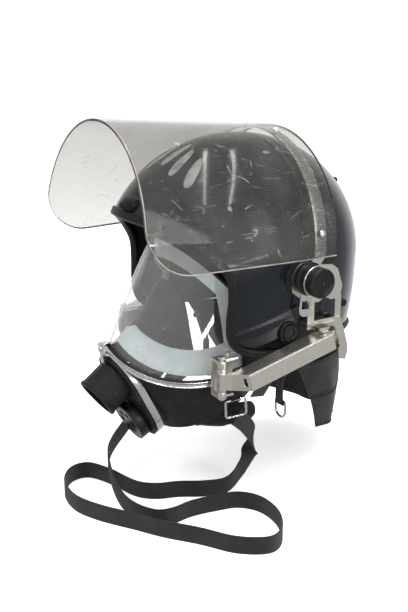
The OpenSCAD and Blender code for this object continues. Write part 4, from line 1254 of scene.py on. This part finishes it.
def finish_cad():
    for material, nodes in KEPT:
        for node in nodes:
            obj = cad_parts[node]
            obj.data.materials.clear()
            obj.data.materials.append(material)
            if node in NO_BEVEL:
                continue
            weld = obj.modifiers.new("weld", "WELD")
            weld.merge_threshold = 0.01 * MM
            bevel(obj, SOFT_EDGE.get(node, 0.35), 35)


finish_cad()


# ---- stage ------------------------------------------------------------------------------------

FLOOR_RADIUS = 45.0       # metres
FLOOR_GAP = 0.0003        # metres that the floor lies under the strap's lower edge


def make_floor():
    """A pale floor that runs to the horizon. It is left out of the reflections."""
    mesh = bpy.data.meshes.new("floor")
    shaped = bmesh.new()
    bmesh.ops.create_circle(shaped, cap_ends=True, radius=FLOOR_RADIUS, segments=64)
    shaped.to_mesh(mesh)
    shaped.free()
    floor = bpy.data.objects.new("floor", mesh)
    floor.location.z = FLOOR_Z * MM - FLOOR_GAP
    floor.visible_glossy = False
    bpy.context.scene.collection.objects.link(floor)
    f = Finish("pale_floor", (0.9, 0.9, 0.9), 0.8, Specular_IOR_Level=0.0, Emission_Color=(1, 1, 1, 1),
               Emission_Strength=0.55)
    mesh.materials.append(f.material)


def make_light(name, at, size, power, aim=(0, -60, -40), glossy=True, along=None):
    """An area light, in metres; along turns its width to a direction."""
    data = bpy.data.lights.new(name, "AREA")
    data.shape = "RECTANGLE"
    data.size, data.size_y = size
    data.energy = power
    light = bpy.data.objects.new(name, data)
    light.location = Vector(at)
    back = (Vector(at) - Vector(aim) * MM).normalized()
    side = Vector(along) if along else Vector((0, 0, 1)).cross(back)
    side = (side - back * side.dot(back)).normalized()
    light.rotation_mode = "QUATERNION"
    light.rotation_quaternion = Matrix((side, back.cross(side), back)).transposed().to_quaternion()
    light.visible_glossy = glossy
    bpy.context.scene.collection.objects.link(light)


WORLD_LOW = 0.38          # brightness of the room below the horizon, as reflections show it
WORLD_HIGH = 0.6          # and overhead
BACKDROP = 1.05           # the white paper behind the object
BACKDROP_TO = (-0.838, 0.545, 0)


def make_world():
    """White behind the object; in reflections a dim room with a pale ceiling and that white backdrop."""
    world = bpy.data.worlds.new("studio")
    world.use_nodes = True
    w = Nodes(world.node_tree)
    place, split = w.node("TexCoord"), w.node("SeparateXYZ")
    toward = w.node("VectorMath", operation="DOT_PRODUCT")
    toward.inputs[1].default_value = BACKDROP_TO
    for target in (split, toward):
        w.link(place.outputs["Generated"], target.inputs[0])
    room, backdrop, ray = w.tree.nodes["Background"], w.node("Background"), w.node("LightPath")
    dim = w.ramp(split.outputs["Z"], -0.1, 1.0, WORLD_LOW, WORLD_HIGH)
    paper = w.ramp(toward.outputs["Value"], 0.3, 0.9, 0, BACKDROP)
    w.link(w.maths("MAXIMUM", dim, paper), room.inputs["Strength"])
    for light in (room, backdrop):
        light.inputs["Color"].default_value = (1, 1, 1, 1)
    backdrop.inputs["Strength"].default_value = BACKDROP
    either = w.mix_shader(ray.outputs["Is Camera Ray"], room.outputs[0], backdrop.outputs[0])
    w.link(either, w.tree.nodes["World Output"].inputs["Surface"])
    bpy.context.scene.world = world
    bpy.context.scene.view_settings.view_transform = "Standard"


make_floor()
make_world()
make_light("key", (-0.5, -1.5, 1.5), (1.2, 1.2), 22, glossy=False)
make_light("top", (0.3, 0.3, 1.7), (1.4, 1.4), 14, glossy=False)
make_light("side", (1.7, 0.4, 0.7), (0.5, 1.2), 7)
make_light("strip_a", (-0.06, -0.17, 1.4), (1.9, 0.05), 12.0, aim=(0, 0, 0), along=(0.88, -0.48, 0))
make_light("strip_b", (0.26, 0.19, 1.4), (1.8, 0.05), 12.0, aim=(0, 0, 0), along=(0.92, -0.38, 0))
make_light("strip_c", (1.34, -0.08, 0.05), (0.8, 0.04), 2.5, along=(0.02, -0.68, -0.11))
